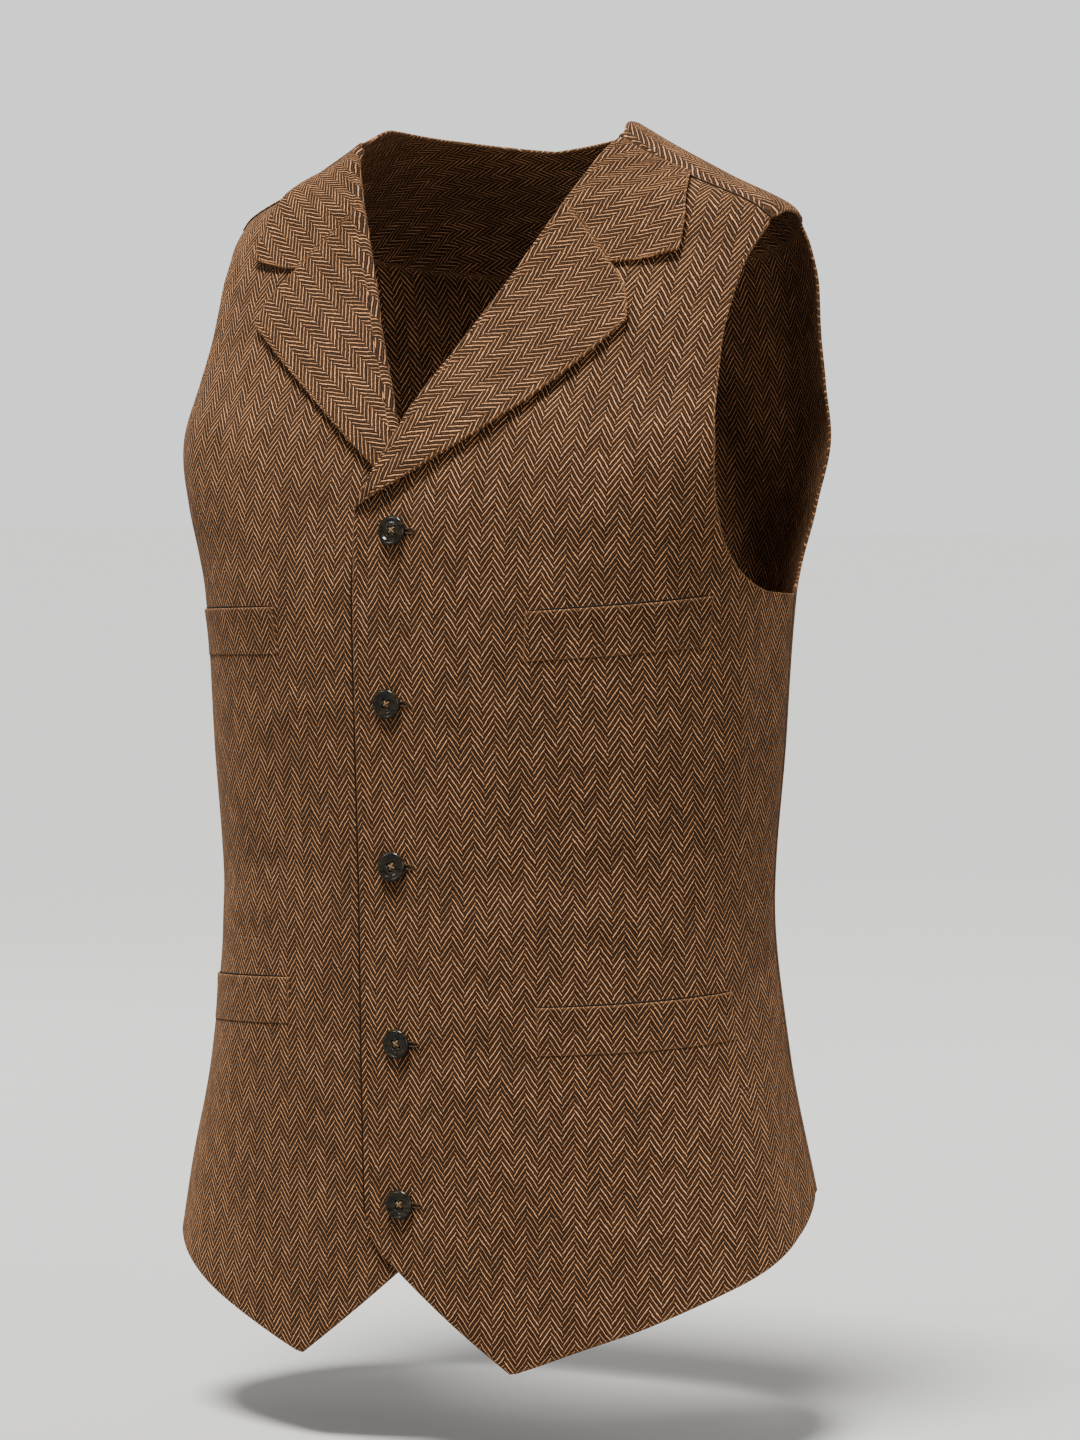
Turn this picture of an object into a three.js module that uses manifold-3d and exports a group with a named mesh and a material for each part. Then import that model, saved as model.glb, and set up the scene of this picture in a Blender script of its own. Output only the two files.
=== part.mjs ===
// Single-breasted waistcoat in its worn, hollow shape. Millimetres, +Z up, the wearer faces -Y and the
// wearer's left is +X. The origin is midway between the two neck points, at shoulder height.
import * as THREE from "three";
import { mergeVertices } from "three/addons/utils/BufferGeometryUtils.js";
import Module from "manifold-3d";

const wasm = await Module();
wasm.setup();

// Cloth and seams
const CLOTH = 2;
const SEAM = 0.4;
const ON_TOP = 0.6; // room between a panel and what lies on it
const WELT_CLOTH = 1.2;
const GORGE_GAP = 0.52; // between a lapel and its collar, measured up
const YOKE_SEAM_TURN = 0.0022; // between the yoke and a front, as a turn

// Necks and edges: x and z on the front, in the wearer's left half
const NECK_X = 82;
const NECK_Z = -0.5;
const FOLD_SLOPE = 0.5; // the lapel fold runs this much outwards for each millimetre up
const OVERLAP = 20; // how far a front runs past the centre
const BREAK_Z = -(NECK_X + OVERLAP) / FOLD_SLOPE; // where the fold meets the front edge
const EDGE_FOOT_Z = -590; // where the front edge turns into the cutaway
const EDGE_TURN = { x: -19, z: -606 };
const CUTAWAY_START = { x: -3, z: -617 };
const CUTAWAY_BOW = { x: 30, z: -645 };
const HEM_POINT = { x: 67, z: -672 };

// Shoulder, armhole and side. A turn is the way round the figure: 0 front, 0.5 side, 1 back.
const TIP = { turn: 0.42, z: -46 };
const SEAM_CURVE = 1.6;
const RIDGE_END_Z = -41;
const NECK_LINE = [
  { turn: 0.5, z: 10 },
  { turn: 0.75, z: 6 },
  { turn: 1, z: -1 },
];
const SIDE_TURN = 0.575;
const UNDERARM_Z = -250;
const SIDE_HEM_Z = -582;
const BACK_HEM_Z = -588;
const TURN_LENGTH = 360; // millimetres of cloth for one unit of turn, roughly
const YOKE_TIP = { turn: 0.62, z: -47 };
const YOKE_BACK_Z = -72;

// Lapel and collar corners on the wearer's left
const GORGE = { x: 64, z: -36 }; // where the gorge seam meets the fold
const NOTCH = { x: 100, z: -71 };
const LAPEL_TIP = { x: 117, z: -103.5 };
const LAPEL_FOOT = { x: -18, z: -203 };
const LAPEL_FOOT_WIDTH = 2;
const LAPEL_BOW = { left: { x: 67, z: -163.5 }, right: { x: 50, z: -153 } };
const LAPEL_TOP_BOW = { x: 115.5, z: -85 };
const COLLAR_CORNER = { x: 134.5, z: -65.5 };
const COLLAR_LOWER_BOW = { x: 118, z: -70.5 };
const COLLAR_OUTER_Z = -22.8;
const COLLAR_OUTER_BOW = { x: 134.5, z: -42 };

// The left front is lifted over the right one, and higher where it crosses the right lapel
const LIFT_OVER_FRONT = CLOTH + 0.5;
const LIFT_OVER_LAPEL = CLOTH + ON_TOP;
const LIFT_FADE_X = { from: 24, to: 80 };
const LIFT_FADE_Z = { from: -150, to: -95 };
const LAPEL_CROSSING_Z = { from: -245, to: -206 };

// Buttons: where the centre of each sits on the left front, from the top one down
const BUTTON_SPOTS = [
  { x: 5.9, z: -215.6 },
  { x: 1.5, z: -307.7 },
  { x: 2, z: -396.5 },
  { x: 3.2, z: -493.4 },
  { x: 3.1, z: -582 },
];
const BUTTON_PROFILE = [
  { radius: 0, height: 0 },
  { radius: 7.2, height: 0 },
  { radius: 8.25, height: 1.1 },
  { radius: 7.95, height: 2.6 },
  { radius: 7, height: 3.2 },
  { radius: 6.1, height: 2.95 },
  { radius: 5, height: 2.2 },
  { radius: 0, height: 2.2 },
];
const BUTTON_HOLE_RADIUS = 0.95;
const BUTTON_HOLE_LENGTH = 9;
const BUTTON_HOLE_OFFSET = 1.75;
const BUTTON_STAND = 0.5;

// Pocket welts: turns of the inner and outer end, top and bottom height, and rise towards the side
const WELTS = [
  { name: "welt_chest_left", side: 1, inner: 0.135, outer: 0.383, top: -257, bottom: -284, rise: 8 },
  { name: "welt_chest_right", side: -1, inner: 0.126, outer: 0.375, top: -257, bottom: -283, rise: -4 },
  { name: "welt_hip_left", side: 1, inner: 0.147, outer: 0.43, top: -471, bottom: -497, rise: 6 },
  { name: "welt_hip_right", side: -1, inner: 0.125, outer: 0.408, top: -462, bottom: -488, rise: -8 },
];

// The figure: level sections, each a squared oval with its own half width, depth to the front, depth to
// the back, middle and squareness. Up to the shoulder ends the half width follows the shoulder slope.
const FIGURE = [
  { z: -680, half: 208, front: 106, back: 116, middle: 0, square: 2.3 },
  { z: -585, half: 187, front: 109, back: 112, middle: 0, square: 2.3 },
  { z: -505, half: 170, front: 112, back: 104, middle: 0, square: 2.3 },
  { z: -420, half: 161, front: 114, back: 98, middle: 0, square: 2.3 },
  { z: -330, half: 167, front: 118, back: 104, middle: 0, square: 2.3 },
  { z: -250, half: 171, front: 121, back: 110, middle: 0, square: 2.4 },
  { z: -200, half: 182, front: 115, back: 112, middle: 2, square: 2.6 },
  { z: -164, half: 189, front: 105, back: 112, middle: 6, square: 2.7 },
  { z: -134, half: 187, front: 91, back: 110, middle: 9, square: 2.55 },
  { z: -103, half: 184, front: 76, back: 106, middle: 12, square: 2.5 },
  { z: -81, half: 183, front: 63, back: 102, middle: 14, square: 2.5 },
  { z: -60, half: 180, front: 53, back: 97, middle: 17, square: 2.3 },
  { z: -42, half: 172, front: 45, back: 90, middle: 19, square: 2.15 },
  { z: -20, half: 130, front: 37, back: 76, middle: 17, square: 2.1 },
  { z: 5, half: 84, front: 34, back: 60, middle: 13, square: 2.1 },
  { z: 30, half: 50, front: 27, back: 44, middle: 9, square: 2.1 },
];

// Armhole edges, from the underarm up
const ARMHOLE_FRONT = [
  { z: -250, turn: 0.575 },
  { z: -248, turn: 0.5 },
  { z: -240, turn: 0.446 },
  { z: -227, turn: 0.404 },
  { z: -210, turn: 0.372 },
  { z: -190, turn: 0.347 },
  { z: -170, turn: 0.33 },
  { z: -150, turn: 0.323 },
  { z: -130, turn: 0.324 },
  { z: -112, turn: 0.327 },
  { z: -96, turn: 0.333 },
  { z: -82, turn: 0.34 },
  { z: -66, turn: 0.36 },
  { z: -46, turn: 0.42 },
];
const ARMHOLE_BACK = [
  { z: -250, turn: 0.575 },
  { z: -242, turn: 0.604 },
  { z: -225, turn: 0.628 },
  { z: -200, turn: 0.645 },
  { z: -170, turn: 0.65 },
  { z: -130, turn: 0.645 },
  { z: -90, turn: 0.638 },
  { z: -47, turn: 0.62 },
];

// Front hem between its point and the side seam
const HEM_CURVE = [
  { turn: 0.16, z: -656 },
  { turn: 0.22, z: -645 },
  { turn: 0.28, z: -634 },
  { turn: 0.33, z: -626 },
  { turn: 0.4, z: -616 },
  { turn: 0.47, z: -605 },
  { turn: 0.52, z: -595 },
  { turn: 0.575, z: -582 },
];

// How finely the pieces are divided
const FRONT_GRID = { across: 20, up: 26, pointColumn: 7, footColumn: 2, underarmRow: 13, breakRow: 14 };
const BACK_GRID = { across: 26, up: 20, underarmRow: 12 };
const YOKE_GRID = { round: 40, down: 4, tipColumn: 5 };
const LAPEL_GRID = { across: 8, up: 14, notchColumn: 5 };
const COLLAR_GRID = { across: 9, up: 6, notchColumn: 5 };
const WELT_GRID = { across: 12, up: 2 };
const BUTTON_SEGMENTS = 20;
const HOLE_SEGMENTS = 6;

const clothMaterial = new THREE.MeshStandardMaterial({ color: 0x6b4527, roughness: 0.95, metalness: 0 });
const weltMaterial = new THREE.MeshStandardMaterial({ color: 0x62401f, roughness: 0.95, metalness: 0 });
const buttonMaterial = new THREE.MeshStandardMaterial({ color: 0x2a2318, roughness: 0.35, metalness: 0 });

// A smooth line through table rows that never overshoots them
function smoothLine(rows, from, to) {
  const sorted = [...rows].sort((a, b) => a[from] - b[from]);
  const x = sorted.map((row) => row[from]);
  const y = sorted.map((row) => row[to]);
  const last = x.length - 1;
  const width = x.slice(1).map((value, i) => value - x[i]);
  const slope = width.map((w, i) => (y[i + 1] - y[i]) / w);
  const tangent = x.map((_, i) => {
    if (i === 0) return slope[0];
    if (i === last) return slope[last - 1];
    if (slope[i - 1] * slope[i] <= 0) return 0;
    const before = 2 * width[i] + width[i - 1];
    const after = width[i] + 2 * width[i - 1];
    return (before + after) / (before / slope[i - 1] + after / slope[i]);
  });
  return (value) => {
    let i = 0;
    while (i < last - 1 && value > x[i + 1]) i += 1;
    const t = (value - x[i]) / width[i];
    const s = 1 - t;
    const ends = (1 + 2 * t) * s * s * y[i] + t * t * (3 - 2 * t) * y[i + 1];
    return ends + width[i] * (t * s * s * tangent[i] - t * t * s * tangent[i + 1]);
  };
}

const halfWidth = smoothLine(FIGURE, "z", "half");
const frontDepth = smoothLine(FIGURE, "z", "front");
const backDepth = smoothLine(FIGURE, "z", "back");
const middle = smoothLine(FIGURE, "z", "middle");
const squareness = smoothLine(FIGURE, "z", "square");

// A point of the figure at a turn and a height
function onFigure(turn, z) {
  const s = Math.sin(Math.PI * turn);
  const c = Math.cos(Math.PI * turn);
  const power = 2 / squareness(z);
  const depth = c > 0 ? frontDepth(z) + middle(z) : backDepth(z) - middle(z);
  return new THREE.Vector3(
    halfWidth(z) * Math.sign(s) * Math.abs(s) ** power,
    middle(z) - Math.sign(c) * depth * Math.abs(c) ** power,
    z,
  );
}

// The outward direction there
const TURN_STEP = 0.002;
const HEIGHT_STEP = 0.5;
function outward(turn, z) {
  const round = onFigure(turn + TURN_STEP, z).sub(onFigure(turn - TURN_STEP, z));
  const up = onFigure(turn, z + HEIGHT_STEP).sub(onFigure(turn, z - HEIGHT_STEP));
  return round.cross(up).normalize();
}

// The place on the front of the figure at a given x
function place(x, z) {
  const share = Math.min(1, Math.abs(x) / halfWidth(z));
  return { turn: (Math.sign(x) * Math.asin(share ** (squareness(z) / 2))) / Math.PI, z };
}

// Straight and bent lines between two places
const mix = (a, b, t) => a + (b - a) * t;
const between = (a, b, t) => ({ turn: mix(a.turn, b.turn, t), z: mix(a.z, b.z, t) });

function bend(a, bow, b, t) {
  const s = 1 - t;
  const x = s * s * a.x + 2 * s * t * bow.x + t * t * b.x;
  const z = s * s * a.z + 2 * s * t * bow.z + t * t * b.z;
  return place(x, z);
}

// 0 before the range, 1 after it, and a smooth rise between
function ease({ from, to }, value) {
  const t = THREE.MathUtils.clamp((value - from) / (to - from), 0, 1);
  return t * t * (3 - 2 * t);
}

const foldPlace = (z) => place(NECK_X + FOLD_SLOPE * z, z);
const neckPlace = foldPlace(NECK_Z);

// The shoulder seam, from the neck to the shoulder tip
function shoulderSeam(t) {
  return {
    turn: mix(neckPlace.turn, TIP.turn, t ** SEAM_CURVE),
    z: mix(NECK_Z, TIP.z, t),
  };
}

// A patch filled in between its four edges, each a function of 0 to 1
function patch(bottom, top, left, right) {
  const blend = (u, v, key) => {
    const rows = (1 - v) * bottom(u)[key] + v * top(u)[key];
    const columns = (1 - u) * left(v)[key] + u * right(v)[key];
    const low = mix(bottom(0)[key], bottom(1)[key], u);
    const high = mix(top(0)[key], top(1)[key], u);
    return rows + columns - mix(low, high, v);
  };
  return (u, v) => ({ turn: blend(u, v, "turn"), z: blend(u, v, "z") });
}

// A cloth wall over a patch: two skins on a grid, joined round the rim. The height of its inner skin
// over the figure may change from place to place.
function wall(name, at, grid, height, thickness, side, material) {
  const points = [];
  const faces = [];
  const { across, up } = grid;
  const row = across + 1;
  const skin = row * (up + 1);
  for (const lift of [0, thickness]) {
    for (let j = 0; j <= up; j += 1) {
      for (let i = 0; i <= across; i += 1) {
        const spot = at(i / across, j / up);
        const base = height(spot) + lift;
        const p = onFigure(spot.turn, spot.z).addScaledVector(outward(spot.turn, spot.z), base);
        points.push(side * p.x, p.y, p.z);
      }
    }
  }
  const quad = (a, b, c, d) => {
    if (side > 0) faces.push(a, b, c, a, c, d);
    else faces.push(a, c, b, a, d, c);
  };
  for (let j = 0; j < up; j += 1) {
    for (let i = 0; i < across; i += 1) {
      const a = j * row + i;
      quad(skin + a, skin + a + 1, skin + a + row + 1, skin + a + row);
      quad(a, a + row, a + row + 1, a + 1);
    }
  }
  for (let i = 0; i < across; i += 1) {
    const top = up * row + i;
    quad(i, i + 1, skin + i + 1, skin + i);
    quad(top + 1, top, skin + top, skin + top + 1);
  }
  for (let j = 0; j < up; j += 1) {
    const left = j * row;
    const right = left + across;
    quad(left + row, left, skin + left, skin + left + row);
    quad(right, right + row, skin + right + row, skin + right);
  }
  const geometry = new THREE.BufferGeometry();
  geometry.setAttribute("position", new THREE.Float32BufferAttribute(points, 3));
  geometry.setIndex(faces);
  geometry.computeVertexNormals();
  const mesh = new THREE.Mesh(geometry, material);
  mesh.name = name;
  return mesh;
}

// A smooth path through places, run at an even pace
function smoothPath(places) {
  let run = 0;
  const rows = places.map((spot, i) => {
    if (i > 0) {
      const before = places[i - 1];
      run += Math.hypot(TURN_LENGTH * (spot.turn - before.turn), spot.z - before.z);
    }
    return { ...spot, run };
  });
  const turn = smoothLine(rows, "run", "turn");
  const z = smoothLine(rows, "run", "z");
  return (t) => ({ turn: turn(run * t), z: z(run * t) });
}
const armholeFront = smoothPath(ARMHOLE_FRONT);
const armholeBack = smoothPath(ARMHOLE_BACK);

// How far the left front is lifted at a place, to lie over the right front and its lapel
function leftLift(spot) {
  const x = onFigure(spot.turn, spot.z).x;
  const near = 1 - ease(LIFT_FADE_X, x);
  const belowNeck = 1 - ease(LIFT_FADE_Z, spot.z);
  const crossing = ease(LAPEL_CROSSING_Z, spot.z);
  return near * belowNeck * (LIFT_OVER_FRONT + LIFT_OVER_LAPEL * crossing);
}
const noLift = () => 0;

// Splits 0 to 1 at a corner, so that a grid line falls on it
function split(t, corner, first, second) {
  return t < corner ? first(t / corner) : second((t - corner) / (1 - corner));
}

function front(side) {
  const { across, up, pointColumn, footColumn, underarmRow, breakRow } = FRONT_GRID;
  const tipPlace = place(HEM_POINT.x, HEM_POINT.z);
  const hemLine = smoothLine([tipPlace, ...HEM_CURVE], "turn", "z");
  const edgeFoot = { x: -OVERLAP, z: EDGE_FOOT_Z };
  const cutaway = (t) =>
    split(
      t,
      footColumn / pointColumn,
      (s) => bend(edgeFoot, EDGE_TURN, CUTAWAY_START, s),
      (s) => bend(CUTAWAY_START, CUTAWAY_BOW, HEM_POINT, s),
    );
  const hem = (t) => {
    const turn = mix(tipPlace.turn, SIDE_TURN, t);
    return { turn, z: hemLine(turn) };
  };
  const bottom = (u) => split(u, pointColumn / across, cutaway, hem);
  const top = shoulderSeam;
  const inner = (v) =>
    split(
      v,
      breakRow / up,
      (s) => place(-OVERLAP, mix(EDGE_FOOT_Z, BREAK_Z, s)),
      (s) => foldPlace(mix(BREAK_Z, NECK_Z, s)),
    );
  const outer = (v) =>
    split(
      v,
      underarmRow / up,
      (s) => ({ turn: SIDE_TURN, z: mix(SIDE_HEM_Z, UNDERARM_Z, s) }),
      armholeFront,
    );
  const at = patch(bottom, top, inner, outer);
  const name = side > 0 ? "front_left" : "front_right";
  return wall(name, at, FRONT_GRID, side > 0 ? leftLift : noLift, CLOTH, side, clothMaterial);
}

function back() {
  const { up, underarmRow } = BACK_GRID;
  const sideGap = SEAM / (Math.PI * halfWidth(UNDERARM_Z));
  const start = SIDE_TURN + sideGap;
  const edge = (v) =>
    split(
      v,
      underarmRow / up,
      (s) => ({ turn: start, z: mix(SIDE_HEM_Z, UNDERARM_Z, s) }),
      (s) => {
        const spot = armholeBack(s);
        return { turn: spot.turn + (start - SIDE_TURN) * (1 - s), z: spot.z - SEAM * s };
      },
    );
  const far = (v) => {
    const spot = edge(v);
    return { turn: 2 - spot.turn, z: spot.z };
  };
  const level = (end, centre) => (u) => {
    const turn = mix(end.turn, 2 - end.turn, u);
    return { turn, z: mix(end.z, centre, Math.sin(Math.PI * u)) };
  };
  const bottom = level({ turn: start, z: SIDE_HEM_Z }, BACK_HEM_Z);
  const top = level({ turn: YOKE_TIP.turn, z: YOKE_TIP.z - SEAM }, YOKE_BACK_Z - SEAM);
  return wall("back", patch(bottom, top, edge, far), BACK_GRID, noLift, CLOTH, 1, clothMaterial);
}

// The yoke, from the left shoulder seam round the back of the neck to the right one
function yoke() {
  const { round, tipColumn } = YOKE_GRID;
  const seam = (v) => {
    const spot = shoulderSeam(1 - v);
    return { turn: spot.turn + YOKE_SEAM_TURN, z: spot.z };
  };
  const neckLine = smoothLine([neckPlace, ...NECK_LINE], "turn", "z");
  const armLine = smoothLine([TIP, { turn: 0.5, z: RIDGE_END_Z }, YOKE_TIP], "turn", "z");
  const half = (u) => (u > 0.5 ? 1 - u : u);
  const across = (u, spot) => (u > 0.5 ? { turn: 2 - spot.turn, z: spot.z } : spot);
  const neck = (u) => {
    const turn = mix(neckPlace.turn + YOKE_SEAM_TURN, 1, 2 * half(u));
    return across(u, { turn, z: neckLine(turn) });
  };
  const outer = (u) => {
    const corner = (2 * tipColumn) / round;
    const spot = split(
      2 * half(u),
      corner,
      (s) => {
        const turn = mix(TIP.turn + YOKE_SEAM_TURN, YOKE_TIP.turn, s);
        return { turn, z: armLine(turn) };
      },
      (s) => {
        const turn = mix(YOKE_TIP.turn, 1, s);
        return { turn, z: mix(YOKE_TIP.z, YOKE_BACK_Z, Math.sin((Math.PI * s) / 2)) };
      },
    );
    return across(u, spot);
  };
  const farSeam = (v) => {
    const spot = seam(v);
    return { turn: 2 - spot.turn, z: spot.z };
  };
  const at = patch(outer, neck, seam, farSeam);
  const grid = { across: round, up: YOKE_GRID.down };
  return wall("yoke", at, grid, noLift, CLOTH, 1, clothMaterial);
}

// A lapel or collar end lies on its front, at the front's own height
const onFront = (side) => (spot) => (side > 0 ? leftLift(spot) : 0) + CLOTH + ON_TOP;

function lapel(side) {
  const corner = LAPEL_GRID.notchColumn / LAPEL_GRID.across;
  const gorge = place(GORGE.x, GORGE.z);
  const notch = place(NOTCH.x, NOTCH.z);
  const foot = place(LAPEL_FOOT.x - LAPEL_FOOT_WIDTH, LAPEL_FOOT.z);
  const bottom = (u) => between(foot, place(LAPEL_FOOT.x, LAPEL_FOOT.z), u);
  const top = (u) =>
    split(
      u,
      corner,
      (s) => between(gorge, notch, s),
      (s) => bend(NOTCH, LAPEL_TOP_BOW, LAPEL_TIP, s),
    );
  const fold = (v) => foldPlace(mix(LAPEL_FOOT.z, GORGE.z, v));
  const bow = side > 0 ? LAPEL_BOW.left : LAPEL_BOW.right;
  const edge = (v) => bend(LAPEL_FOOT, bow, LAPEL_TIP, v);
  const name = side > 0 ? "lapel_left" : "lapel_right";
  return wall(name, patch(bottom, top, fold, edge), LAPEL_GRID, onFront(side), CLOTH, side, clothMaterial);
}

function collar(side) {
  const corner = COLLAR_GRID.notchColumn / COLLAR_GRID.across;
  const apart = (spot) => ({ turn: spot.turn, z: spot.z + GORGE_GAP });
  const gorge = apart(place(GORGE.x, GORGE.z));
  const notch = apart(place(NOTCH.x, NOTCH.z));
  const bottom = (u) =>
    split(
      u,
      corner,
      (s) => between(gorge, notch, s),
      (s) => apart(bend(NOTCH, COLLAR_LOWER_BOW, COLLAR_CORNER, s)),
    );
  const reach = (COLLAR_OUTER_Z - NECK_Z) / (TIP.z - NECK_Z);
  const top = (u) => shoulderSeam(reach * u);
  const fold = (v) => foldPlace(mix(gorge.z, NECK_Z, v));
  const start = { x: COLLAR_CORNER.x, z: COLLAR_CORNER.z + GORGE_GAP };
  const end = onFigure(top(1).turn, top(1).z);
  const edge = (v) => bend(start, COLLAR_OUTER_BOW, end, v);
  const name = side > 0 ? "collar_left" : "collar_right";
  return wall(name, patch(bottom, top, fold, edge), COLLAR_GRID, onFront(side), CLOTH, side, clothMaterial);
}

function welt({ name, side, inner, outer, top, bottom, rise }) {
  const at = (u, v) => ({ turn: mix(inner, outer, u), z: mix(bottom, top, v) + rise * u });
  return wall(name, at, WELT_GRID, onFront(side), WELT_CLOTH, side, weltMaterial);
}

// A closed geometry as a solid for cutting
function solidOf(geometry) {
  const bare = geometry.index ? geometry.toNonIndexed() : geometry.clone();
  bare.deleteAttribute("normal");
  bare.deleteAttribute("uv");
  const merged = mergeVertices(bare, 1e-4);
  return new wasm.Manifold(
    new wasm.Mesh({
      numProp: 3,
      vertProperties: merged.attributes.position.array,
      triVerts: new Uint32Array(merged.index.array),
    }),
  );
}

function geometryOf(solid) {
  const made = solid.getMesh();
  const geometry = new THREE.BufferGeometry();
  geometry.setAttribute("position", new THREE.BufferAttribute(new Float32Array(made.vertProperties), 3));
  geometry.setIndex(new THREE.BufferAttribute(new Uint32Array(made.triVerts), 1));
  geometry.computeVertexNormals();
  return geometry;
}

// A turned button with a raised rim, a shallow well and four thread holes, its axis along +Y
function buttonGeometry() {
  const profile = BUTTON_PROFILE.map(({ radius, height }) => new THREE.Vector2(radius, height));
  let body = solidOf(new THREE.LatheGeometry(profile, BUTTON_SEGMENTS));
  for (const x of [-BUTTON_HOLE_OFFSET, BUTTON_HOLE_OFFSET]) {
    for (const z of [-BUTTON_HOLE_OFFSET, BUTTON_HOLE_OFFSET]) {
      const hole = new THREE.CylinderGeometry(
        BUTTON_HOLE_RADIUS,
        BUTTON_HOLE_RADIUS,
        BUTTON_HOLE_LENGTH,
        HOLE_SEGMENTS,
      );
      hole.translate(x, 0, z);
      body = body.subtract(solidOf(hole));
    }
  }
  return geometryOf(body);
}

function button(geometry, x, z, number) {
  const spot = place(x, z);
  const normal = outward(spot.turn, z);
  const mesh = new THREE.Mesh(geometry, buttonMaterial);
  mesh.name = "button_" + number;
  mesh.position.copy(onFigure(spot.turn, z));
  mesh.position.addScaledVector(normal, leftLift(spot) + CLOTH + BUTTON_STAND);
  mesh.quaternion.setFromUnitVectors(new THREE.Vector3(0, 1, 0), normal);
  return mesh;
}

const waistcoat = new THREE.Group();
waistcoat.add(back(), yoke());
for (const side of [1, -1]) {
  waistcoat.add(front(side), lapel(side), collar(side));
}
WELTS.forEach((row) => waistcoat.add(welt(row)));
const buttonShape = buttonGeometry();
BUTTON_SPOTS.forEach(({ x, z }, i) => waistcoat.add(button(buttonShape, x, z, i + 1)));

export default waistcoat;
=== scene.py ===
"""A single-breasted waistcoat in brown herringbone cloth, dressed over its fixed CAD frame.

Shapes are worked out in millimetres on the same figure as the frame and put into meshes in metres.
"""
import math
from collections import namedtuple

import bpy
import numpy as np
from mathutils import Matrix


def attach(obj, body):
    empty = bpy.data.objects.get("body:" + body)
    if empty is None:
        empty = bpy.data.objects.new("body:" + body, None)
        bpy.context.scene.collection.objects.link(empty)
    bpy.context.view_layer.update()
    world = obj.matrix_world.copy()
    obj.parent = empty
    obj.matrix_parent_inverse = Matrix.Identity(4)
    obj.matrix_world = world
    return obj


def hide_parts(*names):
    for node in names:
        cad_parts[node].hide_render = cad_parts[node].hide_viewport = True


bl_info = {
    "name": "Herringbone waistcoat",
    "version": (1, 0, 0),
    "blender": (4, 5, 0),
    "location": "3D View > Sidebar > Waistcoat",
    "description": "Builds a worn waistcoat with lapels, welts and horn buttons on its frame",
    "category": "Add Mesh",
}

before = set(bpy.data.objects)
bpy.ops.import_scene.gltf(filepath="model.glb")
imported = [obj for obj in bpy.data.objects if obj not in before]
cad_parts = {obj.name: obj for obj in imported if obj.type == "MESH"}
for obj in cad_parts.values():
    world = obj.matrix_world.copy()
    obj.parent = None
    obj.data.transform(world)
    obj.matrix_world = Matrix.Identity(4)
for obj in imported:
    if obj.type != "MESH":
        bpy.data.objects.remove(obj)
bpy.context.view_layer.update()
MM = 0.001
UP = np.array([0, 0, 1.0])

# The figure, as in the frame: level sections with a half width, a depth to the front and to the back,
# a middle and a squareness. A turn is the way round: 0 front, 0.5 side, 1 back.
Section = namedtuple("Section", "z half front back middle square")
FIGURE = [
    Section(-680, 208, 106, 116, 0, 2.3),
    Section(-585, 187, 109, 112, 0, 2.3),
    Section(-505, 170, 112, 104, 0, 2.3),
    Section(-420, 161, 114, 98, 0, 2.3),
    Section(-330, 167, 118, 104, 0, 2.3),
    Section(-250, 171, 121, 110, 0, 2.4),
    Section(-200, 182, 115, 112, 2, 2.6),
    Section(-164, 189, 105, 112, 6, 2.7),
    Section(-134, 187, 91, 110, 9, 2.55),
    Section(-103, 184, 76, 106, 12, 2.5),
    Section(-81, 183, 63, 102, 14, 2.5),
    Section(-60, 180, 53, 97, 17, 2.3),
    Section(-42, 172, 45, 90, 19, 2.15),
    Section(-20, 130, 37, 76, 17, 2.1),
    Section(5, 84, 34, 60, 13, 2.1),
    Section(30, 50, 27, 44, 9, 2.1),
]
Place = namedtuple("Place", "turn z")
Spot = namedtuple("Spot", "x z")

NECK_X = 82
NECK_Z = -0.5
FOLD_SLOPE = 0.5
OVERLAP = 20
BREAK_Z = -(NECK_X + OVERLAP) / FOLD_SLOPE
EDGE_FOOT_Z = -590
EDGE_TURN = Spot(-19, -606)
CUTAWAY_START = Spot(-3, -617)
CUTAWAY_BOW = Spot(30, -645)
HEM_POINT = Spot(67, -672)

TIP = Place(0.42, -46)
SEAM_CURVE = 1.6
RIDGE_END = Place(0.5, -41)
NECK_LINE = [Place(0.5, 10), Place(0.75, 6), Place(1, -1)]
SIDE_TURN = 0.575
UNDERARM_Z = -250
SIDE_HEM_Z = -582
BACK_HEM_Z = -588
TURN_LENGTH = 360
YOKE_TIP = Place(0.62, -47)
YOKE_BACK_Z = -72
# Sewn pieces lap a little at their seams, where the frame leaves a gap between its solids
SEAM = -0.4
SIDE_SEAM_TURN = -0.0012
YOKE_SEAM_TURN = -0.001
GORGE_GAP = -0.25

GORGE = Spot(64, -36)
NOTCH = Spot(100, -71)
LAPEL_TIP = Spot(117, -103.5)
LAPEL_FOOT = Spot(-17, -203)
LAPEL_BOW_LEFT = Spot(67, -163.5)
LAPEL_BOW_RIGHT = Spot(50, -153)
LAPEL_TOP_BOW = Spot(115.5, -85)
COLLAR_CORNER = Spot(134.5, -65.5)
COLLAR_LOWER_BOW = Spot(118, -70.5)
COLLAR_OUTER_Z = -22.8
COLLAR_OUTER_BOW = Spot(134.5, -42)

# Where an edge made of two lines has its corner, as a share of the way along it
CUTAWAY_CORNER = 2 / 7
HEM_POINT_CORNER = 7 / 20
BREAK_CORNER = 14 / 26
UNDERARM_CORNER = 13 / 26
BACK_UNDERARM_CORNER = 12 / 20
YOKE_TIP_CORNER = 0.25
LAPEL_NOTCH_CORNER = 5 / 8
COLLAR_NOTCH_CORNER = 5 / 9

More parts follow.
